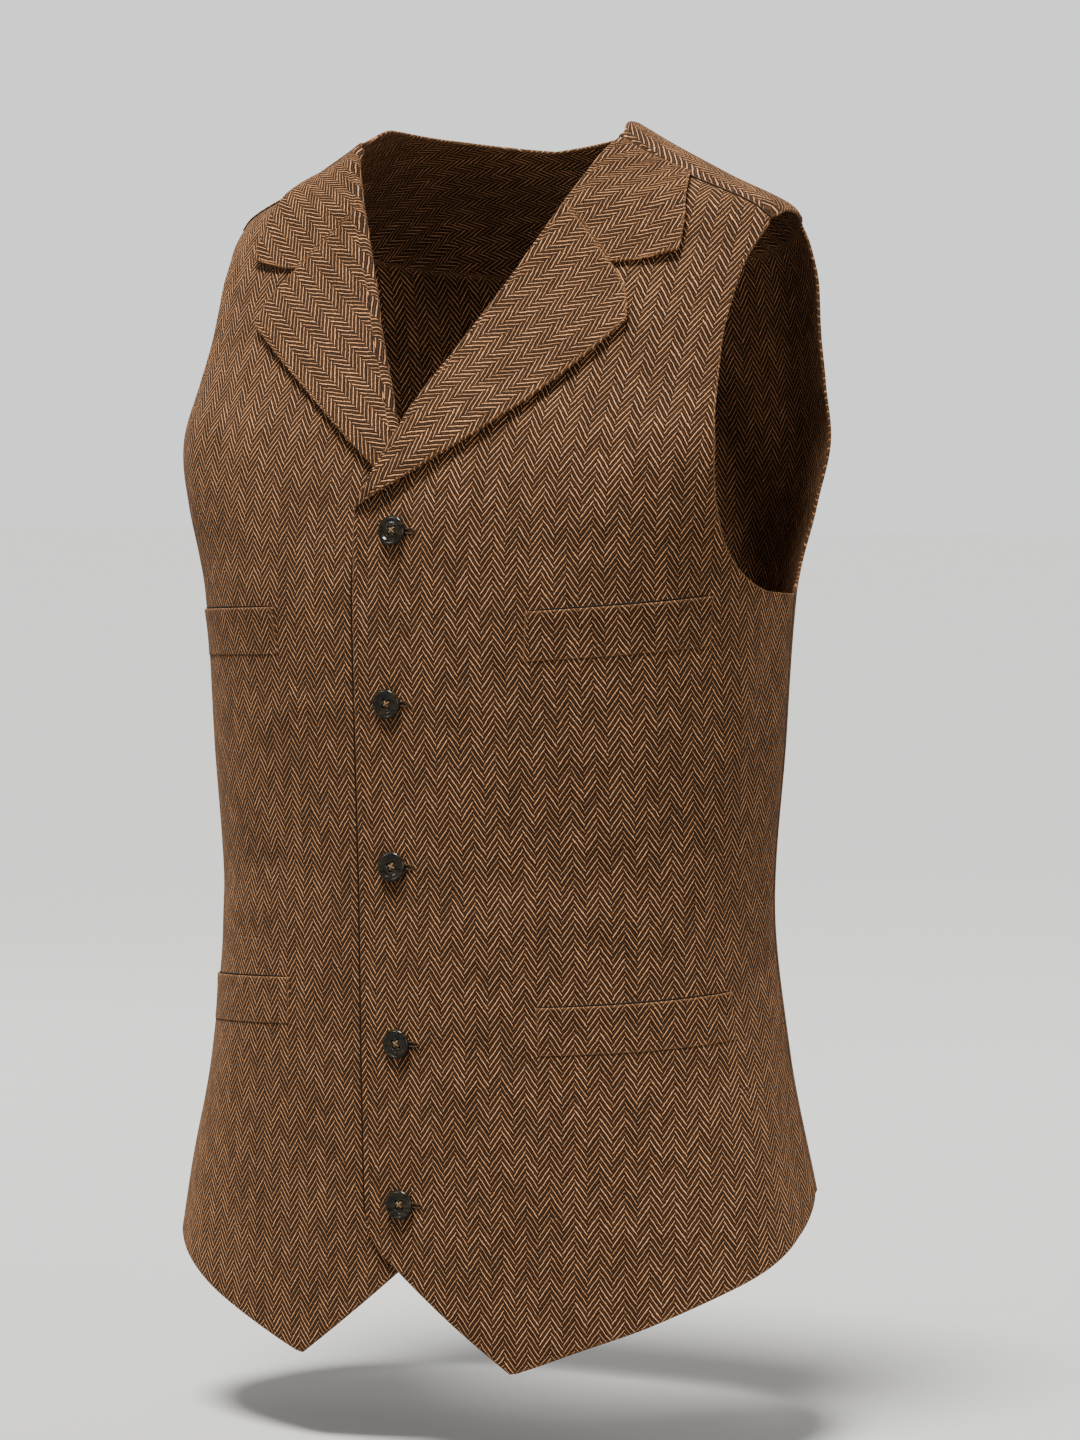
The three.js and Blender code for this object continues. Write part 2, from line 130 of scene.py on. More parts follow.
ARMHOLE_FRONT = [
    Place(0.575, -250), Place(0.5, -248), Place(0.446, -240), Place(0.404, -227), Place(0.372, -210),
    Place(0.347, -190), Place(0.33, -170), Place(0.323, -150), Place(0.324, -130), Place(0.327, -112),
    Place(0.333, -96), Place(0.34, -82), Place(0.36, -66), Place(0.42, -46),
]
ARMHOLE_BACK = [
    Place(0.575, -250), Place(0.604, -242), Place(0.628, -225), Place(0.645, -200), Place(0.65, -170),
    Place(0.645, -130), Place(0.638, -90), Place(0.62, -47),
]
HEM_CURVE = [
    Place(0.16, -656), Place(0.22, -645), Place(0.28, -634), Place(0.33, -626), Place(0.4, -616),
    Place(0.47, -605), Place(0.52, -595), Place(0.575, -582),
]

Welt = namedtuple("Welt", "name side inner outer top bottom rise")
WELTS = [
    Welt("chest_left", 1, 0.135, 0.383, -257, -284, 8),
    Welt("chest_right", -1, 0.126, 0.375, -257, -283, -4),
    Welt("hip_left", 1, 0.147, 0.43, -471, -497, 6),
    Welt("hip_right", -1, 0.125, 0.408, -462, -488, -8),
]

Button = namedtuple("Button", "x z spin tilt lean")
BUTTONS = [
    Button(5.9, -215.6, 8, 2, -1),
    Button(1.5, -307.7, -12, -2, 2),
    Button(2, -396.5, 24, 3, 3),
    Button(3.2, -493.4, 12, -1, -2),
    Button(3.1, -582, 4, 2, 1),
]

# How finely the cloth is divided: the step between grid lines, fine near the front edge, and the
# rough width and height from which the lines of a panel are counted. Threads and seam lines are
# tubes with FINE_SIDES sides
FINE_STEP = 1.5
FINE_BAND = 40
CLOTH_STEP = 2.9
YOKE_STEP = 2.6
LAPEL_STEP = 2.2
RIM_STEPS = 6
FINE_SIDES = 8
FRONT_SPAN = (300, 640)
BACK_SPAN = (400, 520)
YOKE_DEPTH = 95
YOKE_COLUMNS = 241
LAPEL_ROWS = 90
COLLAR_ROWS = 40
WELT_COLUMNS = 70
WELT_ROWS = 18

# Soft creases on a panel's own flat: across from the centre and height of the middle, angle from
# the horizontal, half length, half width and height (a trough is negative)
Crease = namedtuple("Crease", "across height angle length width rise")
FRONT_CREASES = [
    Crease(236, -274, 64, 60, 15, -2.2),
    Crease(214, -300, 58, 70, 13, 1.3),
    Crease(182, -236, 72, 55, 16, -1.3),
    Crease(252, -398, 10, 46, 13, -1.7),
    Crease(262, -426, 16, 52, 12, 1.5),
    Crease(240, -447, 21, 58, 14, -1.6),
    Crease(255, -540, 82, 66, 17, -2.4),
    Crease(205, -566, 85, 60, 19, 1.6),
    Crease(130, -600, 80, 54, 20, -1.2),
    Crease(86, -232, 24, 52, 10, -0.9),
    Crease(66, -312, -14, 46, 9, 0.7),
    Crease(70, -402, 8, 60, 11, -0.8),
    Crease(120, -425, -6, 58, 13, 0.8),
    Crease(58, -498, -10, 44, 10, -0.7),
    Crease(160, -168, 78, 48, 13, 1.1),
    Crease(128, -150, 70, 46, 12, -1.0),
]
BACK_CREASES = [
    Crease(0, -330, 90, 120, 26, -3.0),
    Crease(62, -400, 12, 70, 12, 1.6),
    Crease(-54, -418, -10, 78, 13, -1.7),
    Crease(48, -440, 7, 60, 11, -1.3),
    Crease(-70, -386, -15, 52, 11, 1.2),
    Crease(118, -300, 62, 74, 14, -1.9),
    Crease(-122, -292, -65, 70, 14, -1.8),
    Crease(96, -540, 84, 60, 19, 1.8),
    Crease(-88, -548, 94, 62, 18, 1.6),
    Crease(-18, -530, 88, 64, 21, -1.7),
    Crease(100, -170, 40, 52, 15, -1.5),
    Crease(-98, -178, -38, 54, 15, -1.4),
]


# Smooth lines and places

def smooth_line(x, y):
    """A smooth line through points that never overshoots them. Each stretch is the cubic
    (1+2t)(1-t)^2 y0 + t^2(3-2t) y1 + w(t(1-t)^2 m0 - t^2(1-t) m1), where a slope m is the weighted
    harmonic mean of the slopes beside it."""
    order = np.argsort(x)
    x, y = np.asarray(x, float)[order], np.asarray(y, float)[order]
    width = np.diff(x)
    slope = np.diff(y) / width
    tangent = np.zeros_like(x)
    tangent[0], tangent[-1] = slope[0], slope[-1]
    before, after = 2 * width[1:] + width[:-1], width[1:] + 2 * width[:-1]
    same = slope[:-1] * slope[1:] > 0
    safe = np.where(same, slope[:-1], 1), np.where(same, slope[1:], 1)
    tangent[1:-1] = np.where(same, (before + after) / (before / safe[0] + after / safe[1]), 0)

    def line(value):
        value = np.asarray(value, float)
        i = np.clip(np.searchsorted(x, value) - 1, 0, len(width) - 1)
        t = (value - x[i]) / width[i]
        s = 1 - t
        ends = (1 + 2 * t) * s * s * y[i] + t * t * (3 - 2 * t) * y[i + 1]
        return ends + width[i] * (t * s * s * tangent[i] - t * t * s * tangent[i + 1])

    return line


def column(rows, name):
    return [getattr(row, name) for row in rows]


half_width = smooth_line(column(FIGURE, "z"), column(FIGURE, "half"))
front_depth = smooth_line(column(FIGURE, "z"), column(FIGURE, "front"))
back_depth = smooth_line(column(FIGURE, "z"), column(FIGURE, "back"))
middle = smooth_line(column(FIGURE, "z"), column(FIGURE, "middle"))
squareness = smooth_line(column(FIGURE, "z"), column(FIGURE, "square"))


def on_figure(place):
    """The figure's point at a turn and a height: a squared oval, with x as half width times
    sin(turn)^(2/n) and y as middle minus depth times cos(turn)^(2/n)."""
    turn, z = place[..., 0], place[..., 1]
    s, c = np.sin(np.pi * turn), np.cos(np.pi * turn)
    power = 2 / squareness(z)
    depth = np.where(c > 0, front_depth(z) + middle(z), back_depth(z) - middle(z))
    x = half_width(z) * np.sign(s) * np.abs(s) ** power
    y = middle(z) - np.sign(c) * depth * np.abs(c) ** power
    return np.stack([x, y, z], -1)


def unit(vectors):
    return vectors / np.maximum(np.linalg.norm(vectors, axis=-1, keepdims=True), 1e-9)


def outward(place):
    """The outward direction: the cross product of a step round and a step up."""
    round_step, up_step = np.array([0.002, 0]), np.array([0, 0.5])
    round_way = on_figure(place + round_step) - on_figure(place - round_step)
    up_way = on_figure(place + up_step) - on_figure(place - up_step)
    return unit(np.cross(round_way, up_way))


def lifted(place, height):
    """Points at a height over the figure."""
    return on_figure(place) + outward(place) * spread(height)


def place_at(x, z):
    """The place on the front of the figure at a given x and height."""
    x, z = np.broadcast_arrays(np.asarray(x, float), np.asarray(z, float))
    share = np.clip(np.abs(x) / half_width(z), 0, 1)
    turn = np.sign(x) * np.arcsin(share ** (squareness(z) / 2)) / np.pi
    return np.stack([turn, z], -1)


def spread(value):
    """A number for each point, ready to multiply places or points."""
    return np.asarray(value, float)[..., None]


def mix(a, b, t):
    return a + (b - a) * t


def between(a, b, t):
    return mix(np.asarray(a, float), np.asarray(b, float), spread(t))


def bend(a, bow, b, t):
    """A quadratic curve from a to b that leans towards bow, in x and z."""
    t = np.asarray(t, float)
    s = 1 - t
    x = s * s * a.x + 2 * s * t * bow.x + t * t * b.x
    z = s * s * a.z + 2 * s * t * bow.z + t * t * b.z
    return place_at(x, z)


def ease(low, high, value):
    t = np.clip((np.asarray(value, float) - low) / (high - low), 0, 1)
    return t * t * (3 - 2 * t)


def hump(distance, width):
    return np.exp(-(distance / width) ** 2)


def split(t, corner, first, second):
    """Two edges in one, joined at the share of the way called corner."""
    t = np.asarray(t, float)
    a = first(np.clip(t / corner, 0, 1))
    b = second(np.clip((t - corner) / (1 - corner), 0, 1))
    return np.where(spread(t) < corner, a, b)


def smooth_path(places):
    """A path through places run at an even pace, with a turn counted as TURN_LENGTH millimetres."""
    table = np.array(places, float)
    steps = np.hypot(TURN_LENGTH * np.diff(table[:, 0]), np.diff(table[:, 1]))
    run = np.concatenate([[0], np.cumsum(steps)])
    turn, z = smooth_line(run, table[:, 0]), smooth_line(run, table[:, 1])
    return lambda t: np.stack([turn(run[-1] * t), z(run[-1] * t)], -1)


def patch(bottom, top, left, right, u, v):
    """A patch filled in between its edges: rows plus columns less the blend of the four corners."""
    rows = spread(1 - v) * bottom(u) + spread(v) * top(u)
    columns = spread(1 - u) * left(v) + spread(u) * right(v)
    zero, one = np.zeros(1), np.ones(1)
    low = mix(bottom(zero)[0], bottom(one)[0], spread(u))
    high = mix(top(zero)[0], top(one)[0], spread(u))
    return rows + columns - mix(low, high, spread(v))


def grid(u, v):
    """Grids of u and v with rows going up."""
    return np.meshgrid(np.asarray(u, float), np.asarray(v, float))


def fold_place(z, inwards=0):
    """The lapel fold, a straight line in x and z, moved onto the panel by a distance."""
    return place_at(NECK_X + FOLD_SLOPE * np.asarray(z, float) + inwards, z)


armhole_front = smooth_path(ARMHOLE_FRONT)
armhole_back = smooth_path(ARMHOLE_BACK)
neck_place = Place(*fold_place(NECK_Z))


def shoulder_seam(t):
    t = np.asarray(t, float)
    return np.stack([mix(neck_place.turn, TIP.turn, t**SEAM_CURVE), mix(NECK_Z, TIP.z, t)], -1)


# The cloth's own flat: how far round and how far up a place is, in millimetres

FLAT_TURNS = np.linspace(-0.3, 1.3, 801)
FLAT_HEIGHTS = np.linspace(-690, 20, 356)
WAIST_Z = -420


def flat_tables():
    """Lengths round from the centre front at each height, and lengths up from the waist at each turn,
    as running sums of the distances between close points."""
    turns, heights = grid(FLAT_TURNS, FLAT_HEIGHTS)
    points = on_figure(np.stack([turns, heights], -1))
    round_steps = np.linalg.norm(np.diff(points, axis=1), axis=-1)
    around = np.concatenate([np.zeros((len(FLAT_HEIGHTS), 1)), np.cumsum(round_steps, axis=1)], axis=1)
    around -= around[:, [np.argmin(np.abs(FLAT_TURNS))]]
    up_steps = np.linalg.norm(np.diff(points, axis=0), axis=-1)
    upward = np.concatenate([np.zeros((1, len(FLAT_TURNS))), np.cumsum(up_steps, axis=0)], axis=0)
    waist = np.argmin(np.abs(FLAT_HEIGHTS - WAIST_Z))
    return around, upward - upward[[waist]] + WAIST_Z


AROUND, UPWARD = flat_tables()


def read_table(table, place):
    """The table's value at each place, mixed from the four values round it."""
    i = (place[..., 0] - FLAT_TURNS[0]) / (FLAT_TURNS[1] - FLAT_TURNS[0])
    j = (place[..., 1] - FLAT_HEIGHTS[0]) / (FLAT_HEIGHTS[1] - FLAT_HEIGHTS[0])
    i0 = np.clip(i.astype(int), 0, len(FLAT_TURNS) - 2)
    j0 = np.clip(j.astype(int), 0, len(FLAT_HEIGHTS) - 2)
    s, t = i - i0, j - j0
    low = mix(table[j0, i0], table[j0, i0 + 1], s)
    high = mix(table[j0 + 1, i0], table[j0 + 1, i0 + 1], s)
    return mix(low, high, t)


def flat_place(place):
    return np.stack([read_table(AROUND, place), read_table(UPWARD, place)], -1)


def crease_lift(flat, creases):
    """The sum of soft humps, each rise * exp(-(across/width)^2) * exp(-(along/length)^2), turned."""
    lift = np.zeros(flat.shape[:-1])
    for crease in creases:
        angle = math.radians(crease.angle)
        x, y = flat[..., 0] - crease.across, flat[..., 1] - crease.height
        along = x * math.cos(angle) + y * math.sin(angle)
        across = y * math.cos(angle) - x * math.sin(angle)
        across = across + along**2 / (6 * crease.length)
        lift += crease.rise * hump(across, crease.width) * hump(along, crease.length)
    return lift


# Cloth walls

def edge_distance(points):
    """The distance in millimetres from each grid point to the nearest rim, along rows and columns."""
    along_rows = np.linalg.norm(np.diff(points, axis=1), axis=-1)
    along_columns = np.linalg.norm(np.diff(points, axis=0), axis=-1)
    rows, columns = points.shape[:2]
    left = np.concatenate([np.zeros((rows, 1)), np.cumsum(along_rows, axis=1)], axis=1)
    low = np.concatenate([np.zeros((1, columns)), np.cumsum(along_columns, axis=0)], axis=0)
    return np.minimum(np.minimum(left, left[:, -1:] - left), np.minimum(low, low[-1:] - low))


def ring_of(values):
    """The values on the rim of a grid, once round: along the bottom, up, back along the top, down."""
    return np.concatenate([values[0, :-1], values[:-1, -1], values[-1, :0:-1], values[:0:-1, 0]])


def outside_way(points):
    """For each grid point on the rim, the direction that leaves the grid."""
    way = np.zeros_like(points)
    way[0] += unit(points[0] - points[1])
    way[-1] += unit(points[-1] - points[-2])
    way[:, 0] += unit(points[:, 0] - points[:, 1])
    way[:, -1] += unit(points[:, -1] - points[:, -2])
    return unit(way)


def grid_faces(rows, columns, start, flip):
    """The quads of a grid whose vertices are numbered row by row."""
    corner = (np.arange(rows - 1)[:, None] * columns + np.arange(columns - 1)).reshape(-1) + start
    quads = np.stack([corner, corner + 1, corner + columns + 1, corner + columns], -1)
    return quads[:, ::-1] if flip else quads


def closed_wall(middle_points, normals, half, flat):
    """A wall of cloth: skins at half its thickness to each side of the middle surface, joined by a
    rim that is a half circle. Returns vertices, quads, the flat place and rim distance of each."""
    rows, columns = middle_points.shape[:2]
    half = np.broadcast_to(half, (rows, columns)).astype(float)
    distance = edge_distance(middle_points)
    way = outside_way(middle_points)
    flat_way = outside_way(flat)
    on_rim = np.zeros((rows, columns))
    on_rim[[0, -1]] = 1
    on_rim[:, [0, -1]] = 1
    middle_points = middle_points - way * spread(half * on_rim)
    outer = middle_points + normals * spread(half)
    inner = middle_points - normals * spread(half)
    ring_middle, ring_normal, ring_way = ring_of(middle_points), ring_of(normals), ring_of(way)
    ring_half, ring_flat, ring_flat_way = ring_of(half), ring_of(flat), ring_of(flat_way)
    rims, rim_flats = [], []
    for k in range(1, RIM_STEPS):
        angle = math.pi * (0.5 - k / RIM_STEPS)
        rims.append(
            ring_middle
            + spread(ring_half) * (math.cos(angle) * ring_way + math.sin(angle) * ring_normal)
        )
        rim_flats.append(ring_flat + ring_flat_way * spread(ring_half * math.cos(angle)))
    count = rows * columns
    numbers = np.arange(count).reshape(rows, columns)
    ring = ring_of(numbers)
    size = len(ring)
    loops = [ring] + [2 * count + k * size + np.arange(size) for k in range(RIM_STEPS - 1)]
    loops.append(ring + count)
    faces = [grid_faces(rows, columns, 0, False), grid_faces(rows, columns, count, True)]
    for upper, lower in zip(loops[:-1], loops[1:]):
        following = np.roll(np.arange(size), -1)
        faces.append(np.stack([upper, lower, lower[following], upper[following]], -1))
    vertices = np.concatenate([outer.reshape(-1, 3), inner.reshape(-1, 3), *rims])
    flats = np.concatenate([flat.reshape(-1, 2), flat.reshape(-1, 2), *rim_flats])
    on_the_rim = np.zeros(size * (RIM_STEPS - 1))
    distances = np.concatenate([distance.reshape(-1), distance.reshape(-1), on_the_rim])
    return vertices, np.concatenate(faces), flats, distances


def new_mesh(name, vertices, faces, flats=None, distances=None):
    """A mesh object from arrays in millimetres, with its flat as a UV map in metres."""
    mesh = bpy.data.meshes.new(name)
    mesh.from_pydata((vertices * MM).tolist(), [], [list(map(int, face)) for face in faces])
    if flats is not None:
        loop_vertices = np.empty(len(mesh.loops), np.int32)
        mesh.loops.foreach_get("vertex_index", loop_vertices)
        layer = mesh.uv_layers.new(name="cloth_flat")
        layer.data.foreach_set("uv", (flats[loop_vertices] * MM).astype(np.float32).reshape(-1))
    if distances is not None:
        attribute = mesh.attributes.new("rim", "FLOAT", "POINT")
        attribute.data.foreach_set("value", distances.astype(np.float32))
    mesh.shade_smooth()
    mesh.update()
    made = bpy.data.objects.new(name, mesh)
    bpy.context.collection.objects.link(made)
    return made


# The left front, the left welts, the back and the yoke are cut a little further on in the cloth than
# the right pieces, so the weave doesn't run on across the front edge
LEFT_CUT = np.array([2.9, 1.3])


def sided(word, side):
    """A piece's name, with the wearer's side that it is on."""
    return f"{word}_left" if side > 0 else f"{word}_right"


def flipped(values):
    """The mirror image of a grid of points: x negated and columns reversed, so faces stay outward."""
    turned = values[:, ::-1].copy()
    turned[..., 0] *= -1
    return turned


def add_wall(node, points, normals, half, flat, side):
    """A closed wall of cloth round its middle surface, mirrored for the wearer's right side."""
    if side < 0:
        points, normals, flat = flipped(points), flipped(normals), flipped(flat)
        half = half[:, ::-1]
    made = new_mesh(node + "_cloth", *closed_wall(points, normals, half, flat))
    made.data.materials.append(cloth_material())
    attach(made, "root")
    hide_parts(node)
    return made


def cloth_piece(node, place, lift, thickness, flat, side):
    """A cloth wall whose inner skin stands at a height over the figure."""
    half = np.broadcast_to(np.asarray(thickness, float) / 2, lift.shape)
    normals = outward(place)
    points = on_figure(place) + normals * spread(lift + half)
    return add_wall(node, points, normals, half, flat + LEFT_CUT if side > 0 else flat, side)


# Heights of the cloth over the figure

# The left front's lift ends towards its side (x) and at the neck (z), and more of it starts where it
# crosses the right lapel (z)
OVERLAP_FADE = (24, 80)
OVERLAP_TOP = (-150, -95)
CROSSING_START = (-245, -206)
# Creases end near the front edge and near the side and yoke seams
EDGE_FADE = 26
SIDE_FADE = 28
YOKE_FADE = 22
YOKE_CLEAR = 2
# The line pressed inside the left front's edge, and round each button a dimple with short pull folds
PRESS_TOP = (-222, -208)
PRESS_INSET = 5.5
PRESS_WIDTH = 1.5
PRESS_DEPTH = 0.45
DIMPLE_WIDTH = 8
DIMPLE_DEPTH = 0.7
PULL_FOLDS = 7
PULL_OFFSET = 15
PULL_WIDTH = 7
PULL_RISE = 0.35


def left_lift(place, sizes):
    """The left front lies over the right one, and higher where it crosses the right lapel."""
    x, z = on_figure(place)[..., 0], place[..., 1]
    near = 1 - ease(*OVERLAP_FADE, x)
    below_neck = 1 - ease(*OVERLAP_TOP, z)
    crossing = ease(*CROSSING_START, z)
    return near * below_neck * (sizes.overlap_lift / MM + sizes.crossing_lift / MM * crossing)


def side_lift(place, side, sizes):
    return left_lift(place, sizes) if side > 0 else np.zeros(place.shape[:-1])


def seam_fade(place):
    """0 at the side and yoke seams and 1 away from them, so creases end where two pieces are sewn."""
    from_side = TURN_LENGTH * np.abs(np.minimum(place[..., 0], 2 - place[..., 0]) - SIDE_TURN)
    below_yoke = YOKE_BACK_Z - YOKE_CLEAR - place[..., 1]
    return ease(0, SIDE_FADE, from_side) * ease(0, YOKE_FADE, below_yoke)


def front_shape(place, flat, side, sizes):
    """The height of a front: its lift, its creases, the pressed line inside the front edge, and the
    pull of the buttons."""
    lift = side_lift(place, side, sizes)
    x, z = on_figure(place)[..., 0], place[..., 1]
    from_edge = x + OVERLAP
    lift = lift + crease_lift(flat, FRONT_CREASES) * ease(0, EDGE_FADE, from_edge) * seam_fade(place)
    if side > 0:
        below = 1 - ease(*PRESS_TOP, z)
        lift = lift - PRESS_DEPTH * hump(from_edge - PRESS_INSET, PRESS_WIDTH) * below
        for button in BUTTONS:
            dx, dz = x - button.x, z - button.z
            lift = lift - DIMPLE_DEPTH * hump(np.hypot(dx, dz), DIMPLE_WIDTH)
            folds = np.cos(PULL_FOLDS * np.arctan2(dz, dx))
            lift = lift + PULL_RISE * (folds * hump(dx - PULL_OFFSET, PULL_WIDTH) * hump(dz, PULL_WIDTH))
    return lift


def skin_height(place, side, sizes):
    """The height of a front's outer skin over the figure."""
    return front_shape(place, flat_place(place), side, sizes) + sizes.cloth / MM


# Panels

def steps_for(length, step):
    return np.linspace(0, 1, max(3, round(length / step) + 1))


def front_columns(width):
    """Shares of the way across a front, in fine steps near the front edge after one wider step."""
    fine = np.arange(2, FINE_BAND, FINE_STEP)
    coarse = np.linspace(FINE_BAND, width, round((width - FINE_BAND) / CLOTH_STEP))
    return np.concatenate([[0], fine, coarse]) / width


# Above the break the front's edge draws back from the fold over this height, and at the neck point
# the shift dies out along the shoulder seam with this power
FOLD_START = 14
NECK_FADE = 6


def front_place(u, v, retreat):
    """A front panel between its cutaway and hem, shoulder seam, front edge with fold, and side seam
    with armhole. Above the break its edge stays inside the fold, under the roll of the lapel."""
    point = Place(*place_at(HEM_POINT.x, HEM_POINT.z))
    hem_rows = [point, *HEM_CURVE]
    hem_line = smooth_line(column(hem_rows, "turn"), column(hem_rows, "z"))
    foot = Spot(-OVERLAP, EDGE_FOOT_Z)

    def cutaway(t):
        return split(
            t,
            CUTAWAY_CORNER,
            lambda s: bend(foot, EDGE_TURN, CUTAWAY_START, s),
            lambda s: bend(CUTAWAY_START, CUTAWAY_BOW, HEM_POINT, s),
        )

    def hem(t):
        turn = mix(point.turn, SIDE_TURN, t)
        return np.stack([turn, hem_line(turn)], -1)

    def inner(t):
        def fold(s):
            z = mix(BREAK_Z, NECK_Z, s)
            return fold_place(z, retreat * ease(BREAK_Z, BREAK_Z + FOLD_START, z))

        straight = lambda s: place_at(-OVERLAP + 0 * s, mix(EDGE_FOOT_Z, BREAK_Z, s))
        return split(t, BREAK_CORNER, straight, fold)

    def outer(t):
        side = lambda s: between(Place(SIDE_TURN, SIDE_HEM_Z), Place(SIDE_TURN, UNDERARM_Z), s)
        return split(t, UNDERARM_CORNER, side, armhole_front)

    def top(t):
        seam = shoulder_seam(t)
        start = fold_place(NECK_Z, retreat)
        fade = spread((1 - np.asarray(t, float)) ** NECK_FADE)
        shift = fade * (start - np.array(neck_place))
        return seam + shift

    bottom = lambda t: split(t, HEM_POINT_CORNER, cutaway, hem)
    return patch(bottom, top, inner, outer, u, v)


def make_front(side, sizes):
    width, height = FRONT_SPAN
    u, v = grid(front_columns(width), steps_for(height, CLOTH_STEP))
    place = front_place(u, v, sizes.fold_retreat / MM)
    flat = flat_place(place)
    lift = front_shape(place, flat, side, sizes)
    made = cloth_piece(sided("front", side), place, lift, sizes.cloth / MM, flat, side)


def other_side(place):
    """The mirror image of places, counted on past the centre back."""
    return np.array([2, 0]) + place * np.array([-1, 1])


def back_place(u, v):
    """The back, from the left side seam and armhole to the right ones."""
    start = SIDE_TURN + SIDE_SEAM_TURN

    def edge(t):
        def arm(s):
            path = armhole_back(s)
            path[..., 0] += SIDE_SEAM_TURN * (1 - s)
            path[..., 1] -= SEAM * s
            return path

        side = lambda s: between(Place(start, SIDE_HEM_Z), Place(start, UNDERARM_Z), s)
        return split(t, BACK_UNDERARM_CORNER, side, arm)

    def level(end, centre):
        def line(t):
            turn = mix(end.turn, 2 - end.turn, t)
            return np.stack([turn, mix(end.z, centre, np.sin(np.pi * t))], -1)

        return line

    bottom = level(Place(start, SIDE_HEM_Z), BACK_HEM_Z)
    top = level(Place(YOKE_TIP.turn, YOKE_TIP.z - SEAM), YOKE_BACK_Z - SEAM)
    return patch(bottom, top, edge, lambda t: other_side(edge(t)), u, v)


def whole_turn(place):
    """A place past the centre back as its mirror image before it, with the side it lies on."""
    past = place[..., 0] > 1
    near = place.copy()
    near[..., 0] = np.where(past, 2 - place[..., 0], place[..., 0])
    return near, np.where(past, -1.0, 1.0)


def back_flat(place):
    """The flat of the back: lengths round from the centre back, positive to the wearer's left."""
    near, side = whole_turn(place)
    flat = flat_place(near)
    end = near.copy()
    end[..., 0] = 1
    return np.stack([side * (flat_place(end)[..., 0] - flat[..., 0]), flat[..., 1]], -1)


def make_back(sizes):
    width, height = BACK_SPAN
    u, v = grid(steps_for(width, CLOTH_STEP), steps_for(height, CLOTH_STEP))
    place = back_place(u, v)
    flat = back_flat(place)
    lift = crease_lift(flat, BACK_CREASES) * seam_fade(place)
    made = cloth_piece("back", place, lift, sizes.cloth / MM, flat * [-1, 1], 1)


def yoke_place(u, v):
    """The yoke, from the left shoulder seam round the back of the neck to the right one."""
    start = neck_place.turn + YOKE_SEAM_TURN
    neck_rows = [neck_place, *NECK_LINE]
    neck_line = smooth_line(column(neck_rows, "turn"), column(neck_rows, "z"))
    arm_rows = [TIP, RIDGE_END, YOKE_TIP]
    arm_line = smooth_line(column(arm_rows, "turn"), column(arm_rows, "z"))

    def seam(t):
        return shoulder_seam(1 - t) + np.array([YOKE_SEAM_TURN, 0])

    def half(t):
        return np.where(t > 0.5, 1 - t, t)

    def across(t, place):
        turned = np.where(t > 0.5, 2 - place[..., 0], place[..., 0])
        return np.stack([turned, place[..., 1]], -1)

    def neck(t):
        turn = mix(start, 1, 2 * half(t))
        return across(t, np.stack([turn, neck_line(turn)], -1))

    def arm(s):
        turn = mix(TIP.turn + YOKE_SEAM_TURN, YOKE_TIP.turn, s)
        return np.stack([turn, arm_line(turn)], -1)

    def across_back(s):
        turn = mix(YOKE_TIP.turn, 1, s)
        return np.stack([turn, mix(YOKE_TIP.z, YOKE_BACK_Z, np.sin(np.pi * s / 2))], -1)

    def outer(t):
        return across(t, split(2 * half(t), YOKE_TIP_CORNER, arm, across_back))

    return patch(outer, neck, seam, lambda t: other_side(seam(t)), u, v)


# The height of the shoulder's ridge at distances out from the middle of the neck
RIDGE_REACH = [0, NECK_X, 172]
RIDGE_HEIGHT = [3, 3, -41]
# The yoke stands over the figure by a body of its own inside its rim, a swell beside its front seams,
# and a rise over the collar ends that fades with x
YOKE_LENGTH = 900
YOKE_BODY = 0.5
YOKE_RIM = 10
SWELL_START = 4
SWELL_OFFSET = 7
SWELL_WIDTH = 6
SWELL_RISE = 0.8
COLLAR_FADE = (108, 130)
COLLAR_WIDTH = 26
COLLAR_RISE = 1.6
# Painted shade in the seam grooves and a painted shadow beside the front edge, as thin dark tubes:
# heights over the figure and radii, and the tone of the shade as a share of the thread's colour
SEAM_SHADE_HEIGHT = 1.75
SEAM_SHADE_RADIUS = 0.42
SHOULDER_SEAM_SHADE_HEIGHT = 2.15
SHOULDER_SEAM_SHADE_RADIUS = 0.6
EDGE_SHADE_OFFSET = 2.0
EDGE_SHADE_TOP = -214
EDGE_SHADE_HEIGHT = 2.1
EDGE_SHADE_RADIUS = 0.55
SHADE_TONE = 0.09


def yoke_flat(points):
    """The flat of the yoke, cut crosswise: along the shoulder, and over it from front to back."""
    x, y, z = points[..., 0], points[..., 1], points[..., 2]
    reach = np.abs(x)
    slope = np.hypot(1, (NECK_Z - TIP.z) / (half_width(TIP.z) - NECK_X))
    along = np.where(reach < NECK_X, reach, NECK_X + (reach - NECK_X) * slope)
    ridge = np.interp(reach, RIDGE_REACH, RIDGE_HEIGHT)
    return np.stack([y - (z - ridge), np.sign(x) * along], -1)


def yoke_lift(u, points):
    """The yoke swells beside its front seams, and lies higher where it meets the collar ends."""
    near_seam = np.minimum(u, 1 - u) * YOKE_LENGTH
    over_collar = 1 - ease(*COLLAR_FADE, np.abs(points[..., 0]))
    swell = SWELL_RISE * hump(near_seam - SWELL_OFFSET, SWELL_WIDTH) * ease(0, SWELL_START, near_seam)
    return swell + COLLAR_RISE * over_collar * hump(near_seam, COLLAR_WIDTH)


